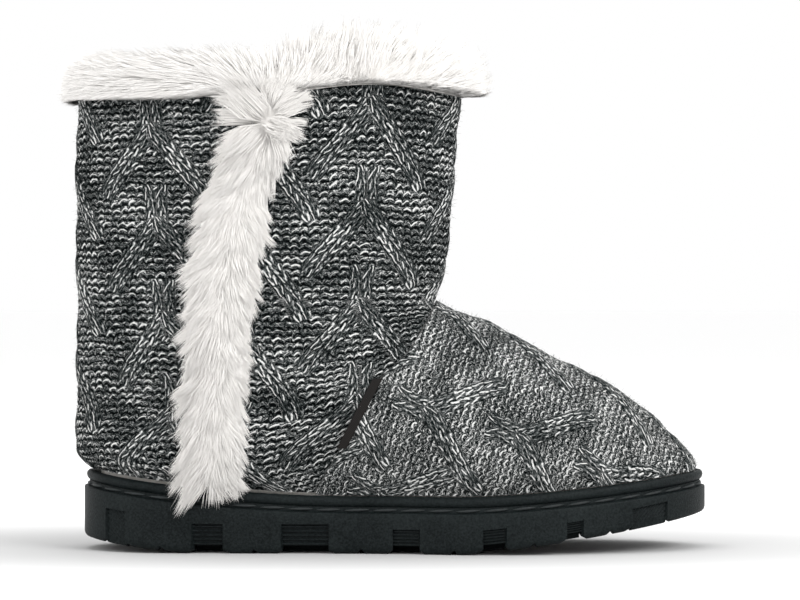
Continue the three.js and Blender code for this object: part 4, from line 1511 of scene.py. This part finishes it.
# %% Fur collar
collar_pile = {"grow": -1.0, "low": -84, "high": 205}
collar_parts = [
    {"name": "fur_collar_outer", "begin": 0.0, "end": math.pi, "count": 27000, "seed": 11},
    {"name": "fur_collar_inner", "begin": math.pi, "end": 2 * math.pi, "count": 20000, "seed": 21},
]
collar_brush = {"behind": -1.7, "ahead": 0.2}
collar_waves = {"behind": 0.08, "ahead": 0.2}
collar_least_rise = {"behind": -0.3, "ahead": 0.1}
collar_gather = {"behind": 0.3, "ahead": 0.55}
collar_lock = 40
crest_rise = 1.1
toe_bend = {"begins": 2.1, "over": 0.7, "brush": 0.4, "rise": 0.7}
heel_pile = {"brush": 0.9, "shorter": 9.0}
fibre_lengths = {"behind": 15.0, "ahead": 14.5, "dip": 3, "under": 0.55}


def from_pinch(points):
    """Unit vectors away from the pinch, and how strongly it still gathers the pile there."""
    away = points - pinch
    distance = np.linalg.norm(away, axis=-1)
    hold = np.clip(1 - distance / pinch_reach, 0, 1) * (points[..., 1] < 0)
    return away / np.maximum(distance, 2)[..., None], (hold * (2 - hold))[..., None]


def brushed(mirrored, ahead, angle, toe_end):
    """How far the pile is brushed round the roll, forward if positive, in slow waves."""
    behind = collar_brush["behind"] + heel_pile["brush"] * at_heel(mirrored)
    in_front = collar_brush["ahead"] + toe_bend["brush"] * toe_end
    waves = np.sin(mirrored * 17 + 1.3) + 0.6 * np.sin(mirrored * 41 + angle * 2)
    return mix(behind, in_front, ahead) + by_parting(collar_waves, ahead) * waves


def collar_fibres(name, begin, end, count, seed, finish):
    rng = np.random.default_rng(seed)
    turn = rng.uniform(begin, end, count)
    mirrored, ahead = fold_over(turn)
    angle = np.radians(rng.uniform(collar_pile["low"], collar_pile["high"], count))
    roots, skin, around = collar_place(turn, angle, collar_pile["grow"])
    forward = np.where(turn > math.pi, -1, 1)
    toe_end = np.clip((mirrored - toe_bend["begins"]) / toe_bend["over"], 0, 1)
    swept = forward * brushed(mirrored, ahead, angle, toe_end)
    aims = skin + around * swept[:, None] + rng.normal(0, 0.13, (count, 3))
    under = np.clip(-np.sin(angle), 0, 1)
    outward = np.stack([around[:, 1], -around[:, 0], np.zeros(count)], axis=1)
    aims += outward * under[:, None]
    rise = (crest_rise - toe_bend["rise"] * toe_end) * ahead
    aims[:, 2] += rise * np.clip(np.cos(angle), 0, 1)
    aims[:, 2] = np.maximum(aims[:, 2], by_parting(collar_least_rise, ahead))
    away, hold = from_pinch(roots)
    aims = mix(unit(aims), away * 1.1 + skin * 0.35, hold)
    behind = fibre_lengths["behind"] - heel_pile["shorter"] * at_heel(mirrored)
    longest = mix(behind, fibre_lengths["ahead"], ahead) - fibre_lengths["dip"] * dipped(mirrored)
    lengths = longest * rng.uniform(0.62, 1.0, count) * (1 - fibre_lengths["under"] * under)
    skin[:, 2] = np.maximum(skin[:, 2], 0.25)
    sag = np.zeros((count, 3))
    sag[:, 2] = -rng.uniform(0.3, 1.2, count) * (1 - np.clip(np.sin(angle), 0, 1)) * (1 - ahead)
    widths = rng.uniform(0.24, 0.38, count)
    fibres = {"roots": roots, "skin": skin, "aims": aims, "lengths": lengths, "widths": widths, "sag": sag}
    gather = by_parting(collar_gather, ahead)
    # Painted light: the collar's fibres take the lighter half of the fur's tones, as the top of the roll
    # gets more light.
    locks = {"count": count // collar_lock, "gather": gather, "wild": 0.08, "tones": (0.5, 1.0)}
    piece = pile(name, fibres, locks, finish, seed + 1)
    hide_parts("fur_collar")


for part in collar_parts:
    collar_fibres(**part, finish=fur)

# %% [markdown]
# The strip runs down the outer side from the pinch to just over the sole's rim. It is a domed pad
# with pile on it. The locks on the left are long and sweep down and back, those on the right are
# short and fall forward, and at the foot they hang over the rim in separate points.

# %% Fur strip
strip_width = 17
strip_thickness = 5
strip_bedding = 0.3
strip_levels = {"low": 0.09, "high": 1.98}
strip_grid = {"rows": 80, "columns": 13}
strip_count = 28000
strip_lock = 80
strip_strewn = {"low": 0.1, "span": 1.87, "power": 0.94}
strip_rows = [
    {"level": 0.09, "reach": 0.385, "spread": 0.85}, {"level": 0.34, "reach": 0.385, "spread": 0.9},
    {"level": 0.6, "reach": 0.39, "spread": 0.9}, {"level": 0.9, "reach": 0.405, "spread": 0.9},
    {"level": 1.2, "reach": 0.425, "spread": 1}, {"level": 1.5, "reach": 0.455, "spread": 1},
    {"level": 1.74, "reach": 0.505, "spread": 0.8}, {"level": 1.86, "reach": 0.53, "spread": 0.7},
    {"level": 1.98, "reach": 0.53, "spread": 1.5},
]
# Fall of the pile, and its longest fibres, at the strip's left and right edge.
strip_fall = {"left": -0.8, "right": 0.75}
strip_lengths = {"left": 19.5, "right": 12.5}


def strip_place(level, sideways, share):
    """Points on the domed pad, at a share of its thickness, and the upper's normals there."""
    dome = np.sqrt(np.maximum(0, 1 - (sideways * 2) ** 2))
    off = strip_thickness * share * dome - strip_bedding
    reach = throat_reach * smooth_column(strip_rows, "level", "reach", level)
    width = strip_width * smooth_column(strip_rows, "level", "spread", level)
    turn = outer_turn(level, reach + sideways * width)
    normals = face_normal(level, turn)
    return face(level, turn) + normals * off[..., None], normals


def strip_backing(finish):
    rows, columns = strip_grid["rows"], strip_grid["columns"]
    level = np.linspace(strip_levels["low"], strip_levels["high"], rows)[:, None]
    level, sideways = np.broadcast_arrays(level, np.linspace(-0.5, 0.5, columns)[None, :])
    points, _ = strip_place(level, sideways, 0.5)
    piece = make_mesh("fur_strip_backing", points, grid_faces(rows, columns), finish)
    write_attribute(piece, "fibre", np.full((rows * columns, 3), backing_tone))
    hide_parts("fur_side_strip")


def strip_fibres(count, finish, seed):
    rng = np.random.default_rng(seed)
    chance = rng.uniform(0, 1, count) ** strip_strewn["power"]
    level = strip_strewn["low"] + strip_strewn["span"] * chance
    sideways = rng.uniform(-0.5, 0.5, count)
    roots, normals = strip_place(level, sideways, 0.45)
    skin = unit(normals + np.stack([sideways * 0.9, np.zeros(count), np.zeros(count)], axis=1))
    left = np.clip(0.5 - sideways * 2.5, 0, 1)
    swing = 0.2 * np.sin(level * 19) + 0.12 * np.sin(level * 47 + sideways * 6)
    fall = np.zeros((count, 3))
    back = strip_fall["left"] - 0.4 * np.clip(level - 0.5, 0, 1)
    fall[:, 0] = mix(strip_fall["right"], back, left) + swing
    fall[:, 2] = -1.0
    aims = unit(fall) + normals * 0.26 + rng.normal(0, 0.1, (count, 3))
    away, hold = from_pinch(roots)
    away = unit(away * [1.7, 1, 1])
    aims = mix(unit(aims), away + normals * 0.25, hold)
    lengths = mix(strip_lengths["right"], strip_lengths["left"], left) * rng.uniform(0.65, 1.0, count)
    lengths *= mix(1.0, 1.15, hold[:, 0])
    sag = -normals * 2.2
    sag[:, 2] -= rng.uniform(0.5, 2.5, count)
    widths = rng.uniform(0.24, 0.36, count)
    fibres = {"roots": roots, "skin": skin, "aims": aims, "lengths": lengths, "widths": widths, "sag": sag}
    # Painted shade: the strip's fibres take the darker half of the fur's tones, as the side gets less
    # light than the collar.
    locks = {"count": count // strip_lock, "gather": 0.75, "wild": 0.16, "tones": (0.0, 0.5)}
    piece = pile("fur_strip_pile", fibres, locks, finish, seed + 1)
    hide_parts("fur_side_strip")


strip_backing(fur)
strip_fibres(strip_count, fur, 31)

# %% [markdown]
# Spun yarn is hairy. Fine loose ends stand off the knit, and though one can hardly be seen alone,
# together they soften the outline. They are the same closed fibres, short, thin and all ways.

# %% Loose ends of the yarn
loose_ends = 4200
loose_reach = 2.6
loose_bedding = 0.2


def loose_yarn_finish():
    finish = Finish("loose_yarn", Roughness=1.0, Specular_IOR_Level=0.0)
    _, tone, _ = finish.attribute("fibre")
    finish.set(Base_Color=finish.blend(tone, (0.03, 0.033, 0.033), (0.6, 0.6, 0.59)))
    return finish.material


def loose_yarn(panel, finish, seed):
    rng = np.random.default_rng(seed)
    vertices = panel.data.vertices
    chosen = rng.choice(len(vertices), loose_ends, replace=False).tolist()
    roots = np.array([vertices[k].co for k in chosen]) * 1000 - to_frame
    skin = np.array([vertices[k].normal for k in chosen])
    aims = skin + rng.normal(0, 0.8, (loose_ends, 3))
    lengths = loose_reach * rng.uniform(0.4, 1.0, loose_ends)
    widths = rng.uniform(0.07, 0.13, loose_ends)
    sag = rng.normal(0, 0.5, (loose_ends, 3))
    fibres = {"roots": roots - skin * loose_bedding, "skin": skin, "aims": aims,
              "lengths": lengths, "widths": widths, "sag": sag}
    locks = {"count": loose_ends // 3, "gather": 0.0, "wild": 0.0, "tones": (0.0, 1.0)}
    piece = pile("loose_" + panel.name, fibres, locks, finish, seed + 1)
    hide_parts("knit_upper")


loose_finish = loose_yarn_finish()
for rank, panel in enumerate(panels):
    loose_yarn(panel, loose_finish, 60 + 2 * rank)

# %% [markdown]
# A narrow woven tab is caught in the seam between shaft and vamp. It is bare, a short length of
# dark ribbon. We carry its cross-section from the upper end to the lower one over the same face, so
# it follows the curve of the knit and stays clear of the courses.

# %% Woven tab
label_length = 32
label_width = 4
label_thickness = 0.9
label_clear = 0.9
label_rows = 26
label_sharp = 40
# Where the tab's ends lie, by level and by share of the throat's reach.
label_ends = {"upper": {"level": 0.61, "reach": 0.835}, "lower": {"level": 0.27, "reach": 0.735}}
label_section = [(-0.5, 0), (-0.5, 0.7), (-0.42, 1), (0, 1.05), (0.42, 1), (0.5, 0.7), (0.5, 0)]


def ribbon_finish():
    finish = Finish("woven_ribbon", Roughness=0.85, Specular_IOR_Level=0.1)
    bands = {"wave_type": "BANDS", "bands_direction": "DIAGONAL"}
    sizes = {"Vector": finish.object_place(), "Scale": 900.0, "Distortion": 0.4}
    threads = finish.node("TexWave", bands, sizes, out="Fac")
    finish.set(Base_Color=finish.blend(threads, (0.007, 0.0062, 0.006), (0.022, 0.02, 0.019)))
    finish.set(Normal=finish.bump(threads, 0.0002, 0.6))
    return finish.material


def woven_tab(finish):
    upper, lower = label_ends["upper"], label_ends["lower"]
    ends = [face(end["level"], outer_turn(end["level"], throat_reach * end["reach"]))
            for end in (upper, lower)]
    scale = label_length / np.linalg.norm(ends[0] - ends[1])
    share = (1 - scale) / 2 + np.linspace(0, 1, label_rows)[:, None] * scale
    level = mix(upper["level"], lower["level"], share)
    sideways, height = np.array(label_section).T[:, None, :]
    reach = throat_reach * mix(upper["reach"], lower["reach"], share) + sideways * label_width
    turn = outer_turn(level, reach)
    level = np.broadcast_to(level, turn.shape)
    off = label_clear + height * label_thickness
    points = face(level, turn) + face_normal(level, turn) * off[..., None]
    count = len(label_section)
    faces = grid_faces(label_rows, count, closed=True).tolist()
    faces += [list(range(count)), list(range((label_rows - 1) * count, label_rows * count))[::-1]]
    piece = make_mesh("side_tab", points, faces, finish)
    piece.data.set_sharp_from_angle(angle=math.radians(label_sharp))
    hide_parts("seam_label")


woven_tab(ribbon_finish())

# %% [markdown]
# The studio is a pale paper floor under a white sky, so its horizon can hardly be seen. Soft lights
# stand at the upper right, at the left and above. Right around the slipper the paper's colour is a
# painted shadow, grey close by and white further out, on top of the soft shadow that the lights cast
# there, and that painted tone is fixed to the floor.

# %% Studio
floor_half = 30.0
# The oval of the painted shadow round the slipper, and how far out, in those sizes, it fades to white.
painted_shadow_spot = {"length": 0.139, "width": 0.056}
painted_shadow_fade = {"begins": 0.9, "ends": 4.2}
light_aim = (0, 0, 0.1)
lights = [
    {"name": "key", "place": (1.0, -1.0, 1.1), "size": 0.9, "power": 15},
    {"name": "fill", "place": (-1.1, -1.0, 0.6), "size": 0.9, "power": 5},
    {"name": "top", "place": (0, 0.1, 1.4), "size": 1.2, "power": 8},
]


def shadowed_paper_finish():
    finish = Finish("backdrop_paper", Roughness=0.9, Specular_IOR_Level=0.1)
    shadow_scale = (1 / painted_shadow_spot["length"], 1 / painted_shadow_spot["width"], 0)
    distance = finish.length(finish.scaled(finish.object_place(), shadow_scale))
    far = finish.ramp_up(distance, painted_shadow_fade["begins"], painted_shadow_fade["ends"])
    # Painted shadow: the paper is painted grey near the slipper and white far from it.
    finish.set(Base_Color=finish.blend(far, (0.55, 0.55, 0.55), (0.99, 0.99, 0.99)))
    return finish.material


def paper_floor(finish):
    corners = [(floor_half * x, floor_half * y, 0) for x, y in ((-1, -1), (1, -1), (1, 1), (-1, 1))]
    mesh = bpy.data.meshes.new("backdrop")
    mesh.from_pydata(corners, [], [(0, 1, 2, 3)])
    mesh.materials.append(finish)
    backdrop = bpy.data.objects.new("backdrop", mesh)
    bpy.context.scene.collection.objects.link(backdrop)


def soft_light(name, place, size, power):
    """A square area light that looks at the slipper."""
    light = bpy.data.lights.new(name, "AREA")
    light.shape = "RECTANGLE"
    light.size, light.size_y = size, size
    light.energy = power
    lamp = bpy.data.objects.new(name, light)
    lamp.location = place
    across, ahead, up = np.array(light_aim) - np.array(place)
    lamp.rotation_euler = (math.atan2(math.hypot(across, ahead), -up), 0, math.atan2(-across, ahead))
    bpy.context.scene.collection.objects.link(lamp)


def white_sky():
    world = bpy.data.worlds.new("studio")
    world.use_nodes = True
    background = world.node_tree.nodes["Background"]
    background.inputs["Color"].default_value = (1, 1, 1, 1)
    background.inputs["Strength"].default_value = 1.0
    bpy.context.scene.world = world
    bpy.context.scene.view_settings.view_transform = "Standard"


paper_floor(shadowed_paper_finish())
for row in lights:
    soft_light(**row)
white_sky()
print("lights:", [row["name"] for row in lights])

# %% [markdown]
# The camera stands level at the slipper's outer side, as far away as for the photo, so that the
# same edges show. Its height and its place along the slipper aim it, and it isn't turned.

# %% Camera
camera_distance = 1.4
camera_x = 134.4
camera_height = 105.4
focal_length = 147.64
sensor_width = 36


def level_camera():
    camera = bpy.data.objects.new("camera", bpy.data.cameras.new("camera"))
    camera.data.lens = focal_length
    camera.data.sensor_width = sensor_width
    camera.location = ((camera_x + to_frame[0]) / 1000, -camera_distance, camera_height / 1000)
    camera.rotation_euler = (math.radians(90), 0, 0)
    bpy.context.scene.collection.objects.link(camera)
    bpy.context.scene.camera = camera
    print("camera at", [round(v, 3) for v in camera.location], "lens", focal_length)


level_camera()
